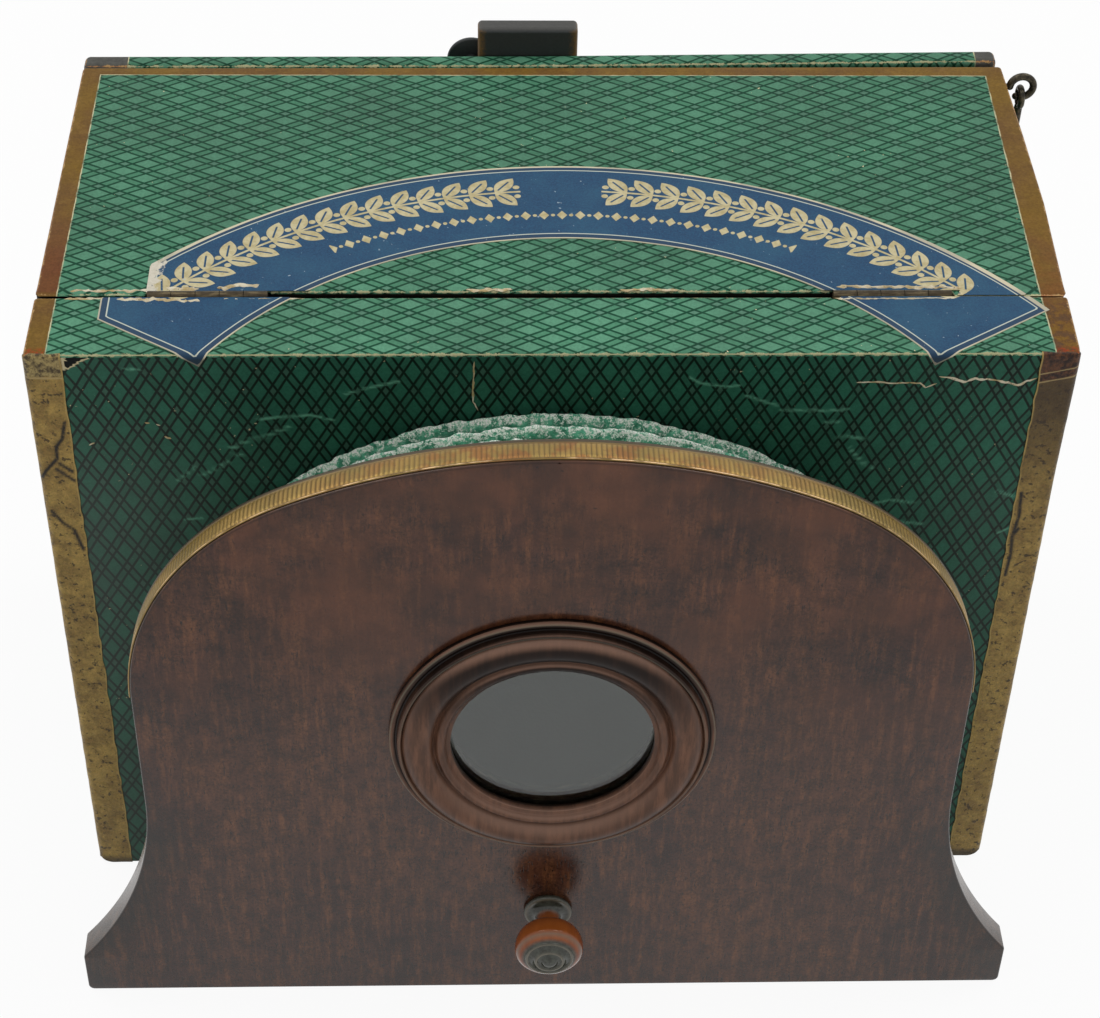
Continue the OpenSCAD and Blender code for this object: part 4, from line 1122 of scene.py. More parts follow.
# Places of the cracks in the corner paper's front leaf, as distance from the middle and Z in millimetres
LEFT_CRACKS = (
    ((112.6, 155.8), (113.6, 151), (115.3, 148.6), (115.5, 144.9), (118.5, 141.2), (119.7, 139)),
    ((112.4, 141), (115, 143.4)), ((112.2, 138.2), (116, 141.8)),
    ((118.6, 128.5), (116.4, 124.8), (114, 122.6), (112.4, 116)),
)
RIGHT_CRACKS = (
    ((112.7, 133.2), (113.2, 125.7), (112.5, 119.2), (112.9, 113), (112.6, 106.1)),
    ((113.6, 121.5), (112.4, 118.8)),
)


def match_caps(whole, first_cap):
    """Turns the end caps of a closed tube so that each runs against its neighbours: an edge is used once
    each way."""
    rounded = np.round(whole["p"], 4)
    _, back = np.unique(rounded, axis=0, return_inverse=True)
    quads = back.reshape(-1)[whole["q"]]
    edges = np.stack([quads, np.roll(quads, -1, 1)], -1)
    body = {tuple(e) for e in edges[:first_cap].reshape(-1, 2).tolist()}
    half = (len(quads) - first_cap) // 2
    for start in (first_cap, first_cap + half):
        block = edges[start : start + half].reshape(-1, 2).tolist()
        clash = sum(tuple(e) in body for e in block)
        match = sum((e[1], e[0]) in body for e in block)
        if clash > match:
            whole["q"][start : start + half] = whole["q"][start : start + half][:, ::-1]
    return whole


def ribbon(path, width, height, up, seed):
    """A ragged paper edge: a low three-sided ridge carried along a path in a plane, its width torn by
    noise."""
    path = np.asarray(path, float)
    run = lengths(path)
    n = max(int(run[-1] / 0.45), 8)
    at = np.linspace(0, run[-1], n)
    line = along_path(at, run, path)
    up = np.array(up, float)
    along = np.gradient(line, axis=0)
    across = np.cross(along, up)
    across /= np.linalg.norm(across, axis=1, keepdims=True)
    taper = np.sqrt(np.clip(np.minimum(at, run[-1] - at) / 1.2, 0, 1))
    left = (0.5 + 0.45 * rough(at, seed + 0 * at, seed, 0.9)) * width * taper + 0.01
    right = (0.5 + 0.45 * rough(at, seed + 9 + 0 * at, seed + 1, 0.7)) * width * taper + 0.01
    lift = (0.6 + 0.4 * rough(at, seed + 5 + 0 * at, seed + 2, 0.8)) * height * (0.2 + 0.8 * taper)
    line = line + across * (0.25 * width * rough(at, 0 * at, seed + 3, 1.7))[:, None]
    base = -0.02
    ring = np.stack(
        [
            line + across * left[:, None] + up * base,
            line + across * (left * 0.4)[:, None] + up * lift[:, None],
            line - across * (right * 0.5)[:, None] + up * (lift * 0.8)[:, None],
            line - across * right[:, None] + up * base,
        ],
        1,
    )
    first = np.broadcast_to(ring[0].mean(0), ring[0].shape)[None]
    last = np.broadcast_to(ring[-1].mean(0), ring[-1].shape)[None]
    return outwards(patch(np.concatenate([first, ring, last]), close_cols=True))


# Shape of the curved label


def label_circles():
    """Centres and radii of the label's outer and inner edges, and the point that its ends run from."""
    outer = (3.4, FRONT_Y + 75.0 - 137.1, 137.1)
    inner = (3.4, FRONT_Y + 44.6 - 97.7, 97.7)
    return outer, inner, (3.4, FRONT_Y - 58.9)


LABEL_END = math.radians(56.3)


def label_span(angles, left):
    """Inner and outer radius of the label for each angle, its left end cut off straight at the given X."""
    outer, inner, centre = label_circles()
    out, back = label_reach(angles, outer, centre), label_reach(angles, inner, centre)
    cut = np.where(angles < -0.2, (centre[0] - left) / np.maximum(-np.sin(angles), 0.1), 1e9)
    return back, np.minimum(out, cut)


def label_reach(angle, circle, centre):
    """Distance from the centre to a circle, along each angle from straight back."""
    dx, dy = np.sin(angle), np.cos(angle)
    ox, oy = centre[0] - circle[0], centre[1] - circle[1]
    b = ox * dx + oy * dy
    return -b + np.sqrt(b * b - (ox * ox + oy * oy - circle[2] ** 2))


def label_sheet(angles, low, high, steps, seed, left, thick=0.15):
    """A sheet between two radii for each angle, laid on the boards and folded down over the front arris.
    border is the distance to the label's nearest printed edge."""
    outer, inner, centre = label_circles()
    t = np.linspace(0, 1, steps)[None, :]
    radius = low[:, None] * (1 - t) + high[:, None] * t
    a = angles[:, None]
    x = centre[0] + radius * np.sin(a)
    y = centre[1] + radius * np.cos(a)
    out, back = label_reach(angles, outer, centre)[:, None], label_reach(angles, inner, centre)[:, None]
    end = radius * np.sin(LABEL_END - np.abs(a))
    border = np.minimum.reduce([out - radius, radius - back, end, x - left, np.full(x.shape, 6.0)])
    # The arris is a quarter circle; past it the sheet hangs down the front
    bend = 0.9
    past = np.clip(FRONT_Y + bend - y, 0, None)
    turn = np.clip(past / bend, 0, math.pi / 2)
    hang = np.clip(past - bend * math.pi / 2, 0, None)
    skins = []
    for lift in (thick + 0.02 * rough(x, y, seed, 2.0), np.full(x.shape, 0.0)):
        r = bend + lift
        yy = np.where(past > 0, FRONT_Y + bend - r * np.sin(turn), y)
        zz = np.where(past > 0, TOP_Z - bend + r * np.cos(turn) - hang, TOP_Z + lift)
        skins.append(np.stack([x, yy, zz], -1))
    ring = np.concatenate([skins[0], skins[1][:, ::-1]], 1)
    uv = np.stack([a * 118 + 0 * radius, out - radius], -1)
    uv = np.concatenate([uv, uv[:, ::-1]], 1)
    border = np.concatenate([border, border[:, ::-1]], 1)
    body = patch(ring, uv, close_cols=True, border=border)
    caps = []
    for k in (0, -1):
        pair = np.stack([skins[0][k], skins[1][k]])
        caps.append(patch(pair, np.stack([uv[k][:steps]] * 2), border=np.stack([border[k][:steps]] * 2)))
    whole = join(outwards(body), *caps)
    return match_caps(whole, len(body["q"]))


# Shape of the lens board


def bow(cx, cz, r, a0, a1, n, first=0, side=1):
    """Points of an arc of an outline and their normals, from the point that is asked for. side is -1 in a
    hollow."""
    return arc(cx, cz, r, a0, a1, n)[first:], side * arc(0, 0, 1, a0, a1, n)[first:]


def board_side():
    """Right-hand outline of the lens board from its foot to its crown, as X and Z, with outward normals:
    rounded foot corner, upright, hollow curve, side, shoulder and crown, each an arc or a line."""
    foot, top = span("lens_board")[1][0], 180.4
    crown, shoulder, half, waist, hollow, corner = 142.3, 65.0, 97.6, 72.0, 93.1, 1.6
    side_x = half - shoulder
    mid = top - crown + math.sqrt((crown - shoulder) ** 2 - side_x**2)
    lean = math.degrees(math.atan2(mid - top + crown, side_x))
    hollow_x = half + hollow
    # The tip of the foot is a small ball between the upright and the hollow curve
    tip = 1.4
    ball_x = foot - tip
    ball_z = waist - math.sqrt((hollow + tip) ** 2 - (hollow_x - ball_x) ** 2)
    lift = math.degrees(math.atan2(waist - ball_z, hollow_x - ball_x))
    pieces = [
        bow(foot - corner, corner, corner, -90, 0, 7),
        (np.array([[foot, ball_z * 0.5]]), np.array([[1.0, 0.0]])),
        bow(ball_x, ball_z, tip, 0, lift, 6),
        bow(hollow_x, waist, hollow, 180 + lift, 180, 40, 1, -1),
        bow(side_x, mid, shoulder, 0, lean, 60),
        bow(0, top - crown, crown, lean, 90, 70, 1),
    ]
    return [np.concatenate(values) for values in zip(*pieces)]


def lens_board_shape(bevel):
    """The lens board: on each face, rows run from the outline to the lens hole's circle or to the middle
    line; round the outline a small arc of the bevel joins the two faces; the hole has its own wall."""
    centre_z, hole = LENS_Z, 26.6
    outline, normal = board_side()
    z = outline[:, 1]
    hole_x = np.sqrt(np.clip(hole**2 - (z - centre_z) ** 2, 0, None))
    # Rows that cross the hole get their hole point by angle, so that the circle is even
    inside = np.abs(z - centre_z) < hole
    low, high = np.where(inside)[0][[0, -1]]
    count = high - low + 3
    turn = np.linspace(-math.pi / 2, math.pi / 2, count)
    hole_z = z.copy()
    hole_z[low - 1 : high + 2] = centre_z + hole * np.sin(turn)
    hole_x[:] = 0
    hole_x[low - 1 : high + 2] = hole * np.cos(turn)
    hole_z[high + 2 :] = np.linspace(centre_z + hole, z[-1], len(z) - high - 1)[1:]
    hole_z[: low - 1] = np.linspace(z[0], centre_z - hole, low)[:-1]
    t = np.linspace(0, 1, 9)
    faces = []
    for sign in (-1, 1):
        for y, flip in ((BOARD_FRONT_Y, 1), (BOARD_BACK_Y, -1)):
            outer = outline - normal * bevel
            outer[0, 1] = bevel
            outer[-1, 0] = 0
            row_x = outer[:, :1] * (1 - t) + hole_x[:, None] * t
            row_z = outer[:, 1:] * (1 - t) + hole_z[:, None] * t
            row_z[0] = bevel
            away = np.linalg.norm(outline - outer, axis=1)[:, None] + 0 * t
            away = away + t * 20
            grid = np.stack([sign * row_x, np.full(row_x.shape, y), row_z], -1)
            part = patch(grid, edge=np.minimum(away, 5), side=0 * row_x)
            ahead = np.cross(grid[40, 1] - grid[40, 0], grid[41, 0] - grid[40, 0])[1]
            if (ahead > 0) == (flip > 0):
                part["q"] = part["q"][:, ::-1]
            faces.append(part)
        # Edge of the board: bevel, flat, bevel
        arcs = np.radians(np.linspace(0, 90, 5))
        out = np.concatenate([bevel - bevel * np.sin(arcs), (bevel - bevel * np.sin(arcs))[::-1]])
        y = np.concatenate(
            [
                BOARD_FRONT_Y + bevel - bevel * np.cos(arcs),
                (BOARD_BACK_Y - bevel + bevel * np.cos(arcs))[::-1],
            ]
        )
        bottom = outline[:1] * [0, 1]
        loop = np.concatenate([bottom, outline])
        loop_normal = np.concatenate([[[0.0, -1.0]], normal])
        loop_normal[1] = [0, -1]
        edge_points = loop[:, None, :] - loop_normal[:, None, :] * out[None, :, None]
        edge_points[:2, :, 1] = out[None, :]
        edge_points[-1, :, 0] = 0
        grid = np.stack(
            [sign * edge_points[..., 0], np.broadcast_to(y, edge_points.shape[:2]), edge_points[..., 1]], -1
        )
        near = np.minimum(y - BOARD_FRONT_Y, BOARD_BACK_Y - y)
        flat = np.broadcast_to(np.clip((near - 0.3) / 0.4, 0, 1), grid.shape[:2])
        part = patch(grid, edge=np.broadcast_to(np.minimum(near, 1.0), grid.shape[:2]), side=flat)
        k = len(loop) // 2
        ahead = np.cross(grid[k, 5] - grid[k, 4], grid[k + 1, 4] - grid[k, 4])
        if np.dot(ahead[[0, 2]], loop_normal[k] * [sign, 1]) < 0:
            part["q"] = part["q"][:, ::-1]
        faces.append(part)
        wall = np.stack(
            [
                np.stack([sign * hole_x, np.full(len(z), yy), hole_z], -1)[low - 1 : high + 2]
                for yy in (BOARD_FRONT_Y, BOARD_BACK_Y)
            ]
        )
        part = patch(wall, edge=np.full(wall.shape[:2], 5.0), side=np.ones(wall.shape[:2]))
        ahead = np.cross(wall[0, 6] - wall[0, 5], wall[1, 5] - wall[0, 5])
        if np.dot(ahead[[0, 2]], [sign, 0]) > 0:
            part["q"] = part["q"][:, ::-1]
        faces.append(part)
    # Middle of the lower edge: the two halves share the line at X = 0
    return join(*faces)


def gilt_shape(rib):
    """The milled strip: its outer face is a row of half-round ribs between a plain lip at the front and a
    narrow border at the back, carried round the arch."""
    outline, normal = board_side()
    keep = outline[:, 1] >= 72.4
    outline, normal = outline[keep], normal[keep]
    at = np.concatenate([outline, (outline * [-1, 1])[::-1][1:]])
    out = np.concatenate([normal, (normal * [-1, 1])[::-1][1:]])
    run = lengths(at)
    n = int(run[-1] / rib) * 8
    s = np.linspace(0, run[-1], n)
    line = along_path(s, run, at)
    face = along_path(s, run, out)
    face /= np.linalg.norm(face, axis=1, keepdims=True)
    (_, y0, _), (_, y1, _) = span("gilt_edging")
    across = np.array(
        [0, 0.0, 0.12, 0.32, 0.46, 0.6, 0.85, 1.6, 2.8, 4.0, 5.0, 5.4, 5.6, 5.9, 6.4, 6.6, 6.6]
    ) / 6.6
    y = y0 + across * (y1 - y0)
    base = np.array(
        [0, 0.3, 0.48, 0.5, 0.36, 0.14, 0.2, 0.22, 0.22, 0.22, 0.2, 0.14, 0.3, 0.36, 0.34, 0.25, 0]
    )
    ribbed = np.array([0, 0, 0, 0, 0, 0.2, 0.9, 1, 1, 1, 0.9, 0.2, 0, 0, 0, 0, 0])
    # lip: above 0 a painted highlight, below 0 painted shade, and at the back a grey border
    lip = np.array([-1, -0.5, 1, 1, 0.3, -0.6, 0, 0, 0, 0, 0, -0.6, -0.6, -1, -1, -1, -1.0])
    wave = np.sqrt(np.abs(np.sin(math.pi * s / rib)))[:, None]
    dent = 1 + 0.25 * rough(s[:, None], 3 * y, 21, 6.0)
    height = base + ribbed * 0.24 * wave * dent
    height[:, [0, -1]] = 0
    points = np.stack(
        [
            line[:, :1] + face[:, :1] * height, np.broadcast_to(y, height.shape),
            line[:, 1:] + face[:, 1:] * height,
        ],
        -1,
    )
    groove = ribbed * (1 - wave)
    ends = [np.broadcast_to(points[k, [0, -1]].mean(0), (1, len(y), 3)) for k in (0, -1)]
    grid = np.concatenate([ends[0], points, ends[1]])
    pad = lambda a: np.concatenate([a[:1], a, a[-1:]])
    return outwards(
        patch(grid, close_cols=True, groove=pad(groove), lip=pad(np.broadcast_to(lip, height.shape)))
    )


def moulding_profile():
    """Radius and height of the moulding: rounded rim, small step bead, broad swelling, inner bead, reveal."""
    swell = arc(0, 0, 1, 12, 172, 40) * [3.7, 3.1] + [31.75, 2.3]
    return np.concatenate(
        [
            [[26.6, 0.0], [38.3, 0.0], [38.5, 0.15]], arc(37.75, 1.3, 0.75, 0, 90, 8),
            [[37.3, 2.05], [37.0, 1.9], [36.7, 2.0], [36.5, 2.9]], arc(35.9, 3.1, 0.6, 0, 110, 8), swell,
            [[27.9, 2.65], [27.6, 2.8]], arc(26.3, 3.0, 1.15, 5, 178, 18),
            [[24.9, 2.75], [24.2, 2.65], [24.0, 2.5], [24.0, 0.6], [26.6, 0.6], [26.6, 0.0]],
        ]
    )


def facing_up(profile, part, centre):
    """How far each point of a turned piece faces up, 0 to 1: the radial part of the profile's normal, times
    the sine of its place on the circle."""
    run = np.gradient(profile, axis=0)
    radial = run[:, 1] / np.maximum(np.linalg.norm(run, axis=1), 1e-9)
    away = part["p"][:, [0, 2]] - [centre[0], centre[2]]
    height = away[:, 1] / np.maximum(np.linalg.norm(away, axis=1), 1e-9)
    return 0.5 + 0.5 * np.repeat(radial, len(away) // len(profile)) * height


def lens_profile():
    """Half of the lens: two shallow spherical faces and a straight edge."""
    r = np.linspace(0, 26.5, 24)
    sag = 520 - np.sqrt(520**2 - r**2)
    front = np.stack([r, 0.1 + sag[-1] - sag], -1)
    back = np.stack([r, 0.1 - 2.4 - sag[-1] + sag], -1)[::-1]
    return np.concatenate([front, back])


def knob_profile():
    """Radius and height of the knob: tenon, dished collar, thin neck, round head, rings on its end."""
    head = np.array(
        [[3.1 + 5.4 * math.sin(a), 6.4 + 5.4 * (1 - math.cos(a))] for a in np.radians(np.arange(0, 91, 6))]
    )
    return np.concatenate(
        [
            [[0, -5], [2.95, -5], [2.95, 0], [5.7, 0.02]], arc(5.5, 0.85, 0.6, -60, 90, 9),
            [
                [5.2, 1.38], [4.6, 1.22], [3.6, 1.55], [3.0, 2.2], [2.6, 3.0], [2.45, 4.0], [2.5, 5.0],
                [2.75, 5.9],
            ],
            head,
            [[8.5, 12.7], [8.35, 13.4], [8.0, 14.0], [7.2, 14.75], [6.4, 15.15], [6.1, 15.2], [6.0, 15.45]],
            arc(5.6, 15.4, 0.4, 20, 150, 6),
            [[5.1, 15.45], [4.6, 15.55], [4.0, 15.95], [3.8, 16.4], [3.6, 16.65]],
            arc(3.3, 16.45, 0.32, 40, 150, 5),
            [[2.8, 16.35], [2.3, 16.35], [1.9, 16.6], [1.6, 17.05], [1.1, 17.35], [0.6, 17.4], [0, 17.4]],
        ]
    )


def bellows_outline(n):
    """Outline of the folds' ridges and its outward normals, closed: foot, side, shoulder, crown and back
    down."""
    half, top, crown, shoulder, foot = 84.5, 160.4, 104.0, 45.5, 12.0
    side_x = half - shoulder
    mid = top - crown + math.sqrt((crown - shoulder) ** 2 - side_x**2)
    lean = math.degrees(math.atan2(mid - top + crown, side_x))
    corner = 7.2
    right = np.concatenate(
        [
            [[0, foot], [half * 0.5, foot]], arc(half - corner, foot + corner, corner, -90, 0, 12),
            [[half, (foot + mid) / 2]], arc(side_x, mid, shoulder, 0, lean, 30),
            arc(0, top - crown, crown, lean, 90, 40)[1:],
        ]
    )
    loop = np.concatenate([right, (right * [-1, 1])[::-1][1:]])
    run = lengths(loop)
    s = np.linspace(0, run[-1], n, endpoint=False)
    at = along_path(s, run, loop)
    along = np.roll(at, -1, 0) - np.roll(at, 1, 0)
    normal = np.stack([along[:, 1], -along[:, 0]], -1)
    normal /= np.linalg.norm(normal, axis=1, keepdims=True)
    return at, normal, s


def bellows_shape(folds, depth, crumple):
    """The bellows: the outline is set in by a rounded triangle wave along Y, and puckered by noise that is
    stretched across each fold. The inner skin is the same surface, set in by the paper's thickness."""
    per = 12
    at, normal, s = bellows_outline(640)
    v = np.linspace(0, folds, folds * per + 1)
    y = FRONT_Y + (BOARD_BACK_Y + 0.15 - FRONT_Y) * v / folds
    wave = 1 - 2 * np.abs(v % 1 - 0.5)
    ridge = 1 - (1 - wave) ** 1.15
    ridge = np.sin(ridge * math.pi / 2) * 0.5 + ridge * 0.5
    fold = np.floor(v - 1e-9)
    ends = np.clip(np.minimum(v, folds - v) / 0.5, 0, 1)
    pucker = rough(s[None, :], 7.0 * fold[:, None] + 2 * wave[:, None], 31, 2.3)
    pucker = pucker * 0.7 + 0.5 * rough(s[None, :], 5.0 * fold[:, None] + 5 * wave[:, None], 33, 0.9)
    sway = rough(s[None, :], 11.0 * fold[:, None], 35, 17.0)
    drop = depth * (1 - ridge)[:, None] + crumple * 0.7 * (1 - pucker)
    drop = drop + 0.25 * (1 + sway) * ridge[:, None]
    drop = np.clip(drop, 0.02, depth + 0.3) * ends[:, None] + (1 - ends[:, None]) * depth
    # The neighbours of each fold may not touch, so the sideways wander stays well below half a fold
    shift = 0.5 * sway + 0.35 * rough(s[None, :], 3.0 * fold[:, None], 37, 3.0)
    shift = shift + 0.22 * rough(s[None, :], 9.0 * fold[:, None] + 3 * wave[:, None], 38, 1.3)
    yy = y[:, None] + ends[:, None] * shift
    skins = []
    for thick in (0.0, 0.6):
        inset = drop + thick
        skins.append(
            np.stack(
                [
                    at[None, :, 0] - normal[None, :, 0] * inset, yy,
                    at[None, :, 1] - normal[None, :, 1] * inset,
                ],
                -1,
            )
        )
    grid = np.concatenate([skins[0], skins[1][::-1]])
    high = np.broadcast_to(ridge[:, None], drop.shape) * (1 - 0.12 * (1 - pucker))
    # The inner skin has no ridge, so it takes the darkest painted shade
    high = np.concatenate([high, 0 * high])
    uv = np.stack(np.broadcast_arrays(s[None, :], v[:, None] * 7), -1)
    return outwards(
        patch(grid, np.concatenate([uv, uv[::-1]]), close_rows=True, close_cols=True, ridge=high)
    )


# Torn edges of the covering paper: a path, its width and its height, in millimetres. On the front a path
# holds X and Z. Beside the slot it holds X, the distance from the board's own edge, and the height above it
FRONT_TEARS = (
    (((-18.1, 173.6), (-18.3, 168), (-18.3, 161.8), (-17.2, 159)), 0.35, 0.1),
    (((69.7, 167.2), (75, 167.3), (79.2, 166.9), (82, 167.2), (84.4, 166.9), (85.8, 165.7), (88.4, 166.8)),
      0.35, 0.12),
    (((88.6, 169), (91, 168.7), (92.3, 168.1), (94.6, 167.3), (97.1, 168.3), (98.4, 167.9), (99.8, 168.1),
      (103.1, 167.5), (105, 167.1), (107.5, 166.2), (109.2, 167.5), (111.4, 168.4)), 0.55, 0.15),
    (((-107.6, 148.8), (-106.2, 149.6)), 0.6, 0.08),
    (((-94.2, 155.8), (-93, 155.6)), 0.5, 0.08),
    (((-91.6, 155.3), (-90.6, 155)), 0.6, 0.08),
    (((-90, 151.5), (-88.4, 151)), 0.7, 0.1),
)
STRIP_TEARS = (
    (((-113, -0.5, 0), (-94, -0.6, 0)), 0.7, 0.12),
    (((-101, -1.0, 0.12), (-90, -1.1, 0.12), (-84, -1.6, 0.12)), 1.2, 0.25),
    (((-84.5, -1.6, 0.12), (-81.5, -2.0, 0.12)), 1.6, 0.2),
    (((-78, -0.9, 0.1), (-58, -0.6, 0.05)), 0.5, 0.12),
    (((66, -0.9, 0.1), (80, -1.0, 0.1), (95, -0.9, 0.12)), 0.6, 0.16),
)
LID_TEARS = (
    (((-112, 0.5, 0), (-93, 0.6, 0)), 0.8, 0.15),
    (((-90, 1.3, 0.12), (-82, 1.2, 0.12)), 1.3, 0.35),
    (((-78, 1.5, 0.15), (-71, 1.9, 0.15), (-68.2, 2.6, 0.15)), 1.4, 0.45),
    (((-20, 0.7, 0), (-9, 0.7, 0)), 1.0, 0.15),
    (((16, 0.6, 0), (30, 0.6, 0)), 0.9, 0.15),
    (((67, 1.4, 0.15), (78, 1.5, 0.15), (92, 1.2, 0.15), (97, 0.9, 0.1)), 1.0, 0.35),
)

# Places of the creases in the front's paper, as X and Z in millimetres
CREASES = (
    ((-68, 156.8), (-56, 158), (-50.7, 156.5)), ((-82.5, 139.6), (-79.6, 141.1), (-75.7, 143.9)),
    ((-74.6, 146), (-72.3, 146)), ((-74.9, 147.9), (-70.2, 150.6), (-66.5, 151.5)),
    ((-66.5, 151.5), (-61, 154.5)), ((-87.3, 125.5), (-83, 126.1)), ((-87.8, 138), (-83.6, 142.4)),
    ((-47.7, 164.1), (-44, 165.6), (-35.3, 167.9)), ((-97, 171.4), (-94.3, 171.4)),
    ((31.3, 168.8), (33.7, 167.2), (39.6, 166.1), (42.8, 166.5)),
    ((44.6, 163.4), (50, 161.3), (52.2, 160.6)), ((52.9, 159), (58.2, 159), (63, 158.9), (68.4, 159.2)),
    ((63.4, 155.4), (66.6, 155.4)), ((67, 151.2), (74.1, 150.4)), ((70, 147.5), (73, 143.5), (76, 141)),
    ((77.8, 130.2), (82, 131), (87.2, 130.1)), ((84, 124), (90, 123.2)), ((106.6, 133.8), (111.3, 131.9)),
    ((109, 120.3), (111.1, 121.8)),
)


def near_line(x, z, path):
    """Distance to a broken line: the least of the distances to its straight parts."""
    path = np.asarray(path, float)
    step = np.diff(path, axis=0)
    at = np.stack([x, z], -1)[..., None, :] - path[:-1]
    t = np.clip((at * step).sum(-1) / (step * step).sum(-1), 0, 1)
    return np.linalg.norm(at - t[..., None] * step, axis=-1).min(-1)


def front_sheet():
    """The front's covering paper: rays run from a point in the opening to the bellows' outline and on to
    the sheet's straight edges, and the sheet lies between. It stands off by its creases and cockles, and a
    flat back closes it. scuff and hole are marks near broken lines."""
    at, normal, _ = bellows_outline(640)
    middle, edge_x, low, high = np.array([0, 80.0]), 111.8, 0.15, 174.8
    inner = at - normal * 7.75 - middle
    corners = [math.atan2(z - middle[1], x) for x in (-edge_x, edge_x) for z in (low, high)]
    angles = np.concatenate([np.linspace(0, math.pi, 1100), np.linspace(-math.pi, 0, 222)[1:-1], corners])
    angles = np.unique(np.round(angles, 7))
    reach = np.interp(
        angles, *np.array(sorted(zip(np.arctan2(inner[:, 1], inner[:, 0]), np.linalg.norm(inner, axis=1)))).T,
        period=2 * math.pi,
    )
    ray = np.stack([np.cos(angles), np.sin(angles)], -1)
    side = edge_x / np.maximum(np.abs(ray[:, 0]), 1e-9)
    end = np.where(ray[:, 1] > 0, high - middle[1], middle[1] - low) / np.maximum(np.abs(ray[:, 1]), 1e-9)
    t = np.linspace(0, 1, 62)
    radius = reach[:, None] * (1 - t) + np.minimum(side, end)[:, None] * t
    x, z = radius * ray[:, :1], middle[1] + radius * ray[:, 1:]
    scuff, crease = np.zeros(x.shape), np.zeros(x.shape)
    for path in CREASES:
        away = near_line(x, z, path)
        scuff = np.maximum(scuff, np.exp(-((away / 0.32) ** 2)))
        crease = np.maximum(crease, np.exp(-((away / 1.4) ** 2)))
    # The upper left corner is torn off below a short slanting line
    above = z - np.interp(x, [-112.3, -110.4, -108.8, -107, -105.4], [170.7, 171.2, 172.3, 173.7, 174.3])
    hole = np.clip(0.3 + above / 1.4, 0, 1) * (x < -105)
    hole = np.where(x < -110.2, np.minimum(hole, 0.45), hole)
    relief = 0.05 * (1 + rough(x, z, 51, 8.0)) + 0.14 * crease
    relief = relief * np.clip((172.5 - z) / 5, 0, 1)
    grid = np.stack([x, FRONT_Y - 0.06 - relief, z], -1)
    back = np.stack([x, np.full(x.shape, FRONT_Y - 0.01), z], -1)[:, [-1, 0]]
    pad = lambda a: np.concatenate([a, a[:, [-1, 0]]], 1)
    return outwards(
        patch(
            np.concatenate([grid, back], 1), close_rows=True, close_cols=True, scuff=pad(scuff),
            hole=pad(hole),
        )
    )


# Operators: one for each piece or group of like pieces


class VIEWER_OT_box(bpy.types.Operator):
    """Papered side walls, strip and front, and the plain floor, rails and lining inside"""

    bl_idname = "viewer.box"
    bl_label = "Box"

    def execute(self, context):
        for side, name in ((-1, "left_wall"), (1, "right_wall")):
            lo, hi = span(name)
            part = rounded_board(lo, hi, 0.9, ((), (-30, 0, 30), (30, 60, 90, 120, 150)), upright=True)
            blunt_foot(part["p"], (side * HALF_W, FRONT_Y))
            place(name + "_papered", part, finish_of("walls"), "case", (name,), normals=True)
        lo, hi = span("top_strip")
        more = (
            [x for a, b in HINGE_SPANS for x in (a - 0.4, a, b, b + 0.4)] + [-60, 0, 60, -115, 115],
            (hi[1] - 1.3, hi[1] - 2.0), (),
        )
        part = notch(rounded_board(lo, hi, 0.8, more), hi[1], -1)
        swollen = np.interp(part["p"][:, 1], [lo[1], lo[1] + 4, hi[1]], [0.4, 0.8, 1.2])
        part["p"][:, 0] += swollen * np.clip((part["across"] - 115) / 4, 0, 1)
        place(
            "top_strip_papered", part, finish_of("strip"), "case",
            ("top_strip", "strip_edging"),
        )
        dress(["front_panel"], "front")
        place("front_paper", front_sheet(), finish_of("front"), "case", sharp=0)
        dress(["bellows_rear_frame"], "plain wood")
        dress([f"{a}_{b}_rail" for a in ("left", "right") for b in ("front", "rear")], "plain wood")
        dress(["case_floor", "cabin_lining"], "black paper")
        return {"FINISHED"}


class VIEWER_OT_corners(bpy.types.Operator):
    """Brown binding paper round the two upright front corners"""

    bl_idname = "viewer.corners"
    bl_label = "Corner binding"

    def execute(self, context):
        for side, name in ((-1, "left_front_edging"), (1, "right_front_edging")):
            part = outwards(angle_strip(side))
            place(name + "_paper", part, finish_of("corner"), "case", (name,))
        return {"FINISHED"}


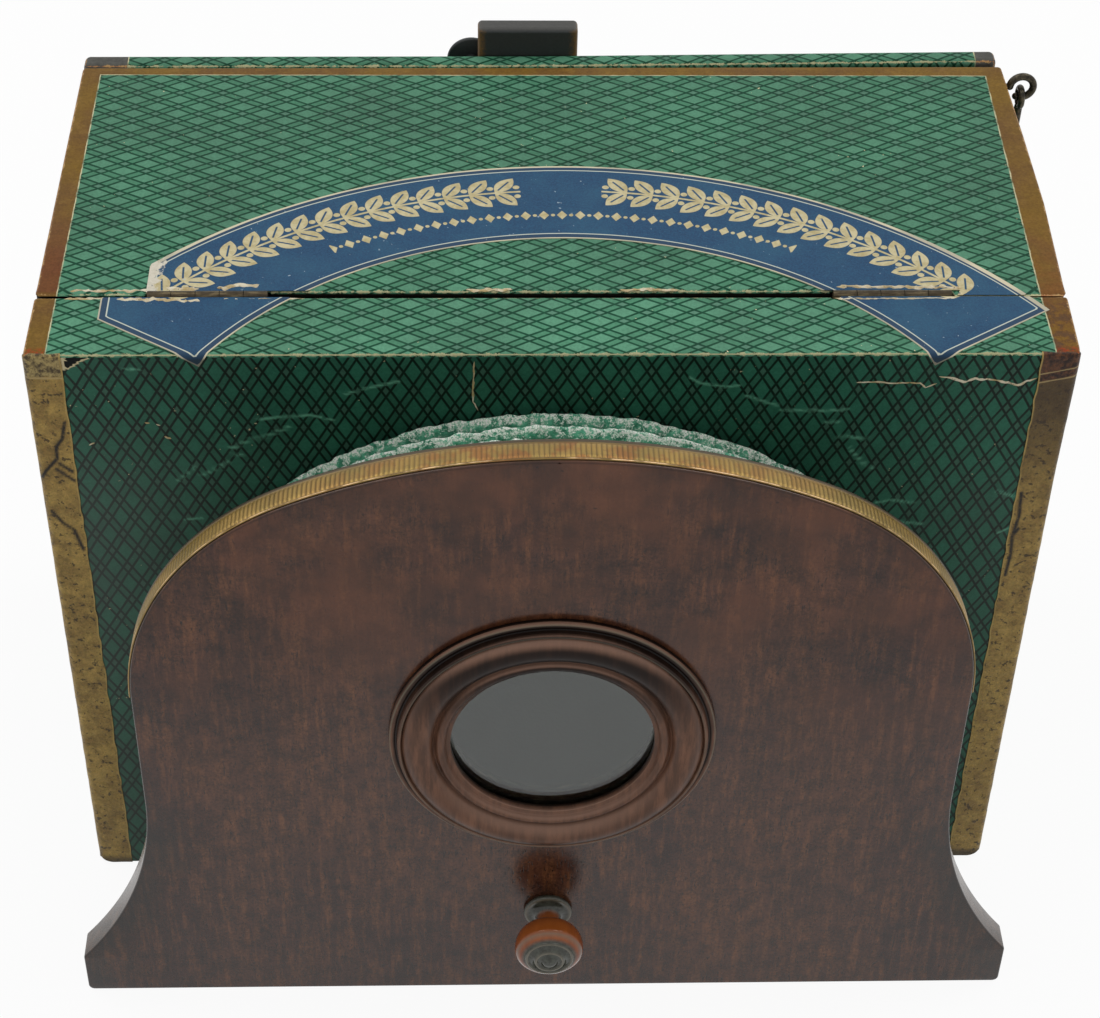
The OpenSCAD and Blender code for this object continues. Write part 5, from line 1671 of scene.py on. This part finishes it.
class VIEWER_OT_lid(bpy.types.Operator):
    """Papered lid with its binding, rounded arrises and room for the hinges"""

    bl_idname = "viewer.lid"
    bl_label = "Lid"

    def execute(self, context):
        s = context.scene.viewer_board
        lo, hi = span("lid_panel")
        more = (
            [x for a, b in HINGE_SPANS for x in (a - 0.4, a, b, b + 0.4)] + [-60, 0, 60, -115, 115],
            (lo[1] + 1.3, lo[1] + 2.0, 0, 30), (),
        )
        part = notch(rounded_board(lo, hi, 1.1, more), lo[1], 1)
        # The rear right corner of the lid has warped outwards, and its binding stands out at the side and
        # the back
        p = part["p"]
        right, back = np.clip(p[:, 0] / hi[0], 0, 1), np.clip((p[:, 1] - lo[1]) / (hi[1] - lo[1]), 0, 1)
        bulge = np.interp(back, [0, 0.15, 0.37, 0.78, 1], [1.1, 1.55, 1.75, 0.7, -0.25])
        swollen = np.clip((part["across"] - 115) / 4, 0, 1) * bulge
        p[:, 1] += np.interp(p[:, 0] / hi[0], [-1, 0, 1], [0.45, 0.9, 1.7]) * np.clip(
            (back - 0.94) / 0.04, 0, 1
        )
        p[:, 0] += s.lid_warp * right * back + swollen
        # At the ends the covering paper still bridges the slot: its lip reaches to the strip on the right
        lip = np.interp(part["across"], [-80, -78, 93.5, 94.7], [0.7, 0, 0, 1])
        lip *= np.clip(1 - back * 40, 0, 1) * (p[:, 2] > TOP_Z - 0.75)
        part["edge"] = part["edge"] + 0.4 * lip - 1.4 * (lip > 0.9)
        p[:, 1] -= 1.9 * lip
        p[:, 2] += (TOP_Z - 0.05 - p[:, 2]) * 0.8 * lip
        place("lid_papered", part, finish_of("lid"), "lid", ("lid_panel", "lid_edging"))
        dress(["lid_lining"], "white paper")
        return {"FINISHED"}


class VIEWER_OT_label(bpy.types.Operator):
    """The curved blue label, in one sheet on the lid and two on the strip, folded over the front arris"""

    bl_idname = "viewer.label"
    bl_label = "Label"

    def execute(self, context):
        centre = label_circles()[2]
        angles = np.linspace(-LABEL_END, LABEL_END, 281)
        back, out = label_span(angles, LABEL_CUT_LID)
        near = LID_FRONT_Y + 0.25 - np.select(
            [angles > math.radians(48.4), angles < -math.radians(45.4)], [1.95, 1.25]
        )
        low = np.maximum(back, (near - centre[1]) / np.cos(angles))
        keep = low < out - 0.3
        part = label_sheet(angles[keep], low[keep], out[keep], 26, 61, LABEL_CUT_LID)
        place("label_on_lid", part, finish_of("label"), "lid", ("lid_label",))
        parts = []
        for side in (-1, 1):
            fine = np.linspace(LABEL_END, math.radians(20), 121) * side
            back, out = label_span(fine, LABEL_CUT_STRIP)
            high = np.minimum(out, (STRIP_BACK_Y - 0.25 - centre[1]) / np.cos(fine))
            keep = back < high - 0.3
            parts.append(label_sheet(fine[keep], back[keep], high[keep], 40, 63 + side, LABEL_CUT_STRIP))
        place("label_on_strip", join(*parts), finish_of("label"), "case", ("strip_label",))
        return {"FINISHED"}


class VIEWER_OT_tears(bpy.types.Operator):
    """Torn and rubbed edges of the covering paper: along the slot, at the hinges and on the front"""

    bl_idname = "viewer.tears"
    bl_label = "Torn paper"

    def execute(self, context):
        up, ahead = (0, 0, 1), (0, -1, 0)
        front = [([(x, FRONT_Y - 0.17, z) for x, z in path], w, h) for path, w, h in FRONT_TEARS]
        strip = [(np.array(path) + [0, STRIP_BACK_Y, TOP_Z], w, h) for path, w, h in STRIP_TEARS]
        lid = [(np.array(path) + [0, LID_FRONT_Y, TOP_Z], w, h) for path, w, h in LID_TEARS]
        parts = [ribbon(*tear, ahead, 300 + k) for k, tear in enumerate(front)]
        parts += [ribbon(*tear, up, 330 + k) for k, tear in enumerate(strip)]
        place("torn_paper_on_case", join(*parts), finish_of("tear"), "case")
        parts = [ribbon(*tear, up, 360 + k) for k, tear in enumerate(lid)]
        place("torn_paper_on_lid", join(*parts), finish_of("tear"), "lid")
        return {"FINISHED"}


class VIEWER_OT_door(bpy.types.Operator):
    """Papered rear door with its tab, screws and small round knob"""

    bl_idname = "viewer.door"
    bl_label = "Door"

    def execute(self, context):
        lo, hi = span("door_panel")
        part = rounded_board(lo, hi, 1.6, (range(-100, 101, 20), (), (40, 80, 120)), upright=True)
        p = part["p"]
        lean = context.scene.viewer_board.door_warp * np.interp(
            p[:, 0] / hi[0], [-1, 0, 0.5, 1], [0, 0.2, 0.6, 1]
        )
        p[:, 1] += lean * (p[:, 2] / hi[2])
        p[:, 0] += 0.8 * np.clip(p[:, 0] / hi[0] * 2 - 1, 0, 1) * p[:, 2] / hi[2]
        place(
            "door_papered", part, finish_of("door"), "door", ("door_panel", "door_edging"),
            normals=True,
        )
        dress(["door_lining"], "white paper")
        lo, hi = span("door_tab")
        lo, hi = lo + [-0.6, 0.7, 0], hi + [0.35, 0.7, 0.5]
        part = rounded_board(lo, hi, 1.2)
        part["top"] = np.clip((part["p"][:, 2] - hi[2] + 0.7) / 0.5, 0, 1)
        part["edge"] = np.minimum(part["p"][:, 0] - lo[0], hi[0] - part["p"][:, 0])
        place("tab_wood", part, finish_of("ebonised"), "door", ("door_tab",), normals=True)
        (x0, y0, z0), (x1, y1, z1) = span("door_knob")
        x, z = (x0 + x1) / 2, (z0 + z1) / 2
        head = y1 - 3.5
        profile = np.concatenate(
            [
                [[0, y0], [2, y0], [2, head - 0.3]], arc(5.9, head + 0.6, 0.6, -90, 20, 8),
                [[6.1, head + 1.4], [5.2, head + 2.4], [3.8, head + 3.1], [2, head + 3.42], [0, y1]],
            ]
        )
        part = turned(profile, (x, 0, z), forward=1, steps=64)
        part["edge"], part["top"] = np.full(len(part["p"]), 6.0), np.zeros(len(part["p"]))
        place("door_knob_turned", part, finish_of("ebonised"), "door", ("door_knob",))
        dress(["door_tab_screws"], "brass")
        return {"FINISHED"}


class VIEWER_OT_hinges(bpy.types.Operator):
    """Finish of the brass hinges, their pins and nails, the hook's stud and the lens's retaining ring"""

    bl_idname = "viewer.hinges"
    bl_label = "Hinges"

    def execute(self, context):
        dress(
            [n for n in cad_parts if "hinge" in n or n in ("side_stud", "lens_retaining_ring")],
            "brass",
        )
        return {"FINISHED"}


class VIEWER_OT_hook(bpy.types.Operator):
    """Screw eye in the lid and the wire hook that hangs in it"""

    bl_idname = "viewer.hook"
    bl_label = "Side hook"

    def execute(self, context):
        (x0, y0, z0), (x1, y1, z1) = span("lid_screw_eye")
        x, y, z = x1 - 4.1, (y0 + y1) / 2, (z0 + z1) / 2
        ring = arc(x, z, 3.1, 178, -112, 60)
        path = np.stack([ring[:, 0], np.full(60, y), ring[:, 1]], -1)
        stem = np.stack([np.linspace(x0 + 1, x - 3.1, 12)[:-1], np.full(11, y), np.full(11, z)], -1)
        part = join(wire(path, 0.98, (0, 1, 0)), wire(stem, 0.95, (0, 1, 0)))
        place("lid_screw_eye_wire", part, finish_of("iron"), "lid", ("lid_screw_eye",))
        (hx0, _, hz0), (hx1, _, hz1) = span("side_hook")
        hx, pivot, low = (hx0 + hx1) / 2, hz1 - 3.3, hz0 + 3.4
        loop = arc(y, pivot, 2.4, -92, 236, 40)
        bend = arc(y - 2.6, low, 2.6, 0, -180, 24)
        tail = np.array([[y - 5.2, low + t] for t in (0.8, 1.8, 2.8)])
        shank = np.array([[y, t] for t in np.linspace(pivot - 3.0, low, 12)])
        line = np.concatenate([shank[:-1], bend, tail])
        paths = [np.stack([np.full(len(p), hx), p[:, 0], p[:, 1]], -1) for p in (loop, line)]
        taper = np.concatenate(
            [np.linspace(1.1, 0.85, len(shank) - 1), np.linspace(0.8, 0.72, 24), [0.68, 0.62, 0.55]]
        )
        part = join(wire(paths[0], 0.88, (1, 0, 0)), wire(paths[1], taper, (1, 0, 0)))
        place("side_hook_wire", part, finish_of("iron"), "hook", ("side_hook",))
        return {"FINISHED"}


class VIEWER_OT_bellows(bpy.types.Operator):
    """Folded and puckered bellows between the box and the lens board"""

    bl_idname = "viewer.bellows"
    bl_label = "Bellows"

    def execute(self, context):
        s = context.scene.viewer_bellows
        part = bellows_shape(s.folds, s.depth, s.crumple)
        piece = place(
            "bellows_folded", part, finish_of("bellows"), None, ("bellows",), sharp=0
        )
        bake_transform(piece)
        dress(["bellows_front_frame"], "plain wood")
        return {"FINISHED"}


class VIEWER_OT_board(bpy.types.Operator):
    """Polished lens board with its milled gilt strip"""

    bl_idname = "viewer.board"
    bl_label = "Lens board"

    def execute(self, context):
        s = context.scene.viewer_board
        place(
            "lens_board_polished", lens_board_shape(s.bevel), finish_of("board"), "lens_standard",
            ("lens_board",),
        )
        place(
            "gilt_strip_milled", gilt_shape(s.rib), finish_of("gilt"), "lens_standard",
            ("gilt_edging",), sharp=0,
        )
        return {"FINISHED"}


class VIEWER_OT_lens(bpy.types.Operator):
    """Turned moulding and ground lens"""

    bl_idname = "viewer.lens"
    bl_label = "Lens"

    def execute(self, context):
        centre = (0, BOARD_FRONT_Y, LENS_Z)
        part = turned(moulding_profile(), centre, steps=256)
        radius = np.hypot(part["p"][:, 0], part["p"][:, 2] - centre[2])
        height = BOARD_FRONT_Y - part["p"][:, 1]
        # Painted glints on the rim and on the small bead
        rim = 0.9 * np.exp(-(((radius - 38.2) / 0.15) ** 2)) * (height > 1.3)
        bead = 0.5 * np.exp(-(((radius - 35.9) / 0.15) ** 2)) * (height > 3.3)
        part["crest"] = np.clip(rim + bead, 0, 1)
        part["dull"] = np.zeros(len(radius))
        # Painted light on faces that look up, and painted shade in the groove between the rim and the small
        # bead
        part["faded"] = facing_up(moulding_profile(), part, centre) * np.clip((height - 1.0) / 0.3, 0, 1)
        part["faded"] *= 1 - 0.8 * np.exp(-(((radius - 36.95) / 0.45) ** 2))
        place(
            "lens_moulding_turned", part, finish_of("moulding"), "lens_standard",
            ("lens_moulding",),
        )
        part = turned(lens_profile(), centre, steps=192)
        place("lens_ground", part, finish_of("glass"), "lens_standard", ("lens",))
        return {"FINISHED"}


class VIEWER_OT_knob(bpy.types.Operator):
    """Turned focusing knob"""

    bl_idname = "viewer.knob"
    bl_label = "Knob"

    def execute(self, context):
        part = turned(knob_profile(), (0, BOARD_FRONT_Y, KNOB_Z), steps=128)
        height = BOARD_FRONT_Y - part["p"][:, 1]
        radius = np.hypot(part["p"][:, 0], part["p"][:, 2] - KNOB_Z)
        # Grey grime and a painted floor reflection on the collar's dish and the middle of the end
        part["dull"] = np.interp(height, [2.2, 3.4], [1, 0]) + np.interp(
            radius, [6.3, 7.1], [1, 0]
        ) * (height > 12)
        # Painted light on faces that look up
        part["faded"] = 0.35 + 0.5 * facing_up(knob_profile(), part, (0, 0, KNOB_Z))
        # Painted glints on the rings of the end and on the collar's rim
        rings = np.exp(-(((radius[:, None] - [8.1, 5.6, 3.35]) / 0.35) ** 2)).sum(1)
        part["crest"] = 0.8 * rings * (height > 13.5) + np.exp(
            -((radius - 5.5) / 0.35) ** 2
        ) * (height < 2) * (height > 0.3)
        place("focus_knob_turned", part, finish_of("knob"), "lens_standard", ("focus_knob",))
        return {"FINISHED"}


class VIEWER_OT_stage(bpy.types.Operator):
    """Pale floor, soft lights and the camera"""

    bl_idname = "viewer.stage"
    bl_label = "Stage"

    def execute(self, context):
        s = context.scene.viewer_stage
        scene = context.scene
        mesh = bpy.data.meshes.new("floor")
        mesh.from_pydata([(-6, -6, 0), (6, -6, 0), (6, 6, 0), (-6, 6, 0)], [], [(0, 1, 2, 3)])
        floor = bpy.data.objects.new("floor", mesh)
        scene.collection.objects.link(floor)
        # Matt white paper. The camera and mirrors see it nearly white, with the object's shadow kept
        material, put, shader = begin("pale matt floor")
        fill(shader, {"Base Color": (*s.floor, 1), "Roughness": 0.9, "Specular IOR Level": 0.0})
        glow = put("Emission", {"Color": (1, 1, 1, 1), "Strength": 1.0})
        mixed = put("MixShader", seen(put) * s.white, shader, glow)
        fill(Worked(material.node_tree.nodes["Material Output"]), {"Surface": mixed})
        mesh.materials.append(material)
        world = bpy.data.worlds.new("even white")
        scene.world = world
        world.use_nodes = True
        strength = seen(partial(put_in, world.node_tree)) * (1 - s.sky) + s.sky
        fill(Worked(world.node_tree.nodes["Background"]), {"Color": (1, 1, 1, 1), "Strength": strength})
        for side, name in ((-1, "left soft box"), (1, "right soft box")):
            lamp = bpy.data.lights.new(name, "AREA")
            lamp.shape, lamp.size, lamp.size_y, lamp.energy = "RECTANGLE", 0.7, 1.0, s.key / 2
            box = bpy.data.objects.new(name, lamp)
            scene.collection.objects.link(box)
            box.location = (0.75 * side, 0.3, 1.35)
            box.rotation_euler = (Vector((0, 0, 0.1)) - box.location).to_track_quat("-Z", "Y").to_euler()
        cam = bpy.data.cameras.new("camera")
        cam.sensor_width, cam.lens = 36, FOCAL_PIXELS / PICTURE[0] * 36
        cam.clip_start, cam.clip_end = 0.05, 20
        view = bpy.data.objects.new("camera", cam)
        scene.collection.objects.link(view)
        pitch, yaw, roll = (math.radians(a) for a in CAMERA_TURN)
        ahead = Vector((math.sin(yaw) * math.cos(pitch), math.cos(yaw) * math.cos(pitch), -math.sin(pitch)))
        right = ahead.cross(Vector((0, 0, 1))).normalized()
        above = right.cross(ahead)
        right, above = (
            math.cos(roll) * right + math.sin(roll) * above,
            -math.sin(roll) * right + math.cos(roll) * above,
        )
        turn = Matrix((right, above, -ahead)).transposed().to_4x4()
        view.matrix_world = Matrix.Translation(Vector(CAMERA_PLACE)) @ turn
        scene.camera = view
        scene.view_settings.view_transform = "Standard"
        return {"FINISHED"}


class VIEWER_PT_panel(bpy.types.Panel):
    """Buttons and sizes of the viewer"""

    bl_idname = "VIEWER_PT_panel"
    bl_label = "Viewer"
    bl_space_type = "VIEW_3D"
    bl_region_type = "UI"
    bl_category = "Viewer"

    def draw(self, context):
        for name, group in SETTINGS.items():
            settings = getattr(context.scene, name)
            for prop in group.__annotations__:
                self.layout.prop(settings, prop)
        for operator in OPERATORS:
            self.layout.operator(operator.bl_idname)


SETTINGS = {
    "viewer_paper": PaperSettings, "viewer_bellows": BellowsSettings, "viewer_board": BoardSettings,
    "viewer_stage": StageSettings,
}
OPERATORS = (
    VIEWER_OT_stage, VIEWER_OT_box, VIEWER_OT_corners, VIEWER_OT_lid, VIEWER_OT_label, VIEWER_OT_tears,
    VIEWER_OT_door, VIEWER_OT_hinges, VIEWER_OT_hook, VIEWER_OT_bellows, VIEWER_OT_board, VIEWER_OT_lens,
    VIEWER_OT_knob,
)


def register():
    for group in (*SETTINGS.values(), *OPERATORS, VIEWER_PT_panel):
        bpy.utils.register_class(group)
    for name, group in SETTINGS.items():
        setattr(bpy.types.Scene, name, bpy.props.PointerProperty(type=group))


def unregister():
    for name in SETTINGS:
        delattr(bpy.types.Scene, name)
    for group in (VIEWER_PT_panel, *OPERATORS, *SETTINGS.values()):
        bpy.utils.unregister_class(group)


def main():
    register()
    for operator in OPERATORS:
        group, name = operator.bl_idname.split(".")
        getattr(getattr(bpy.ops, group), name)()


if __name__ == "__main__":
    main()
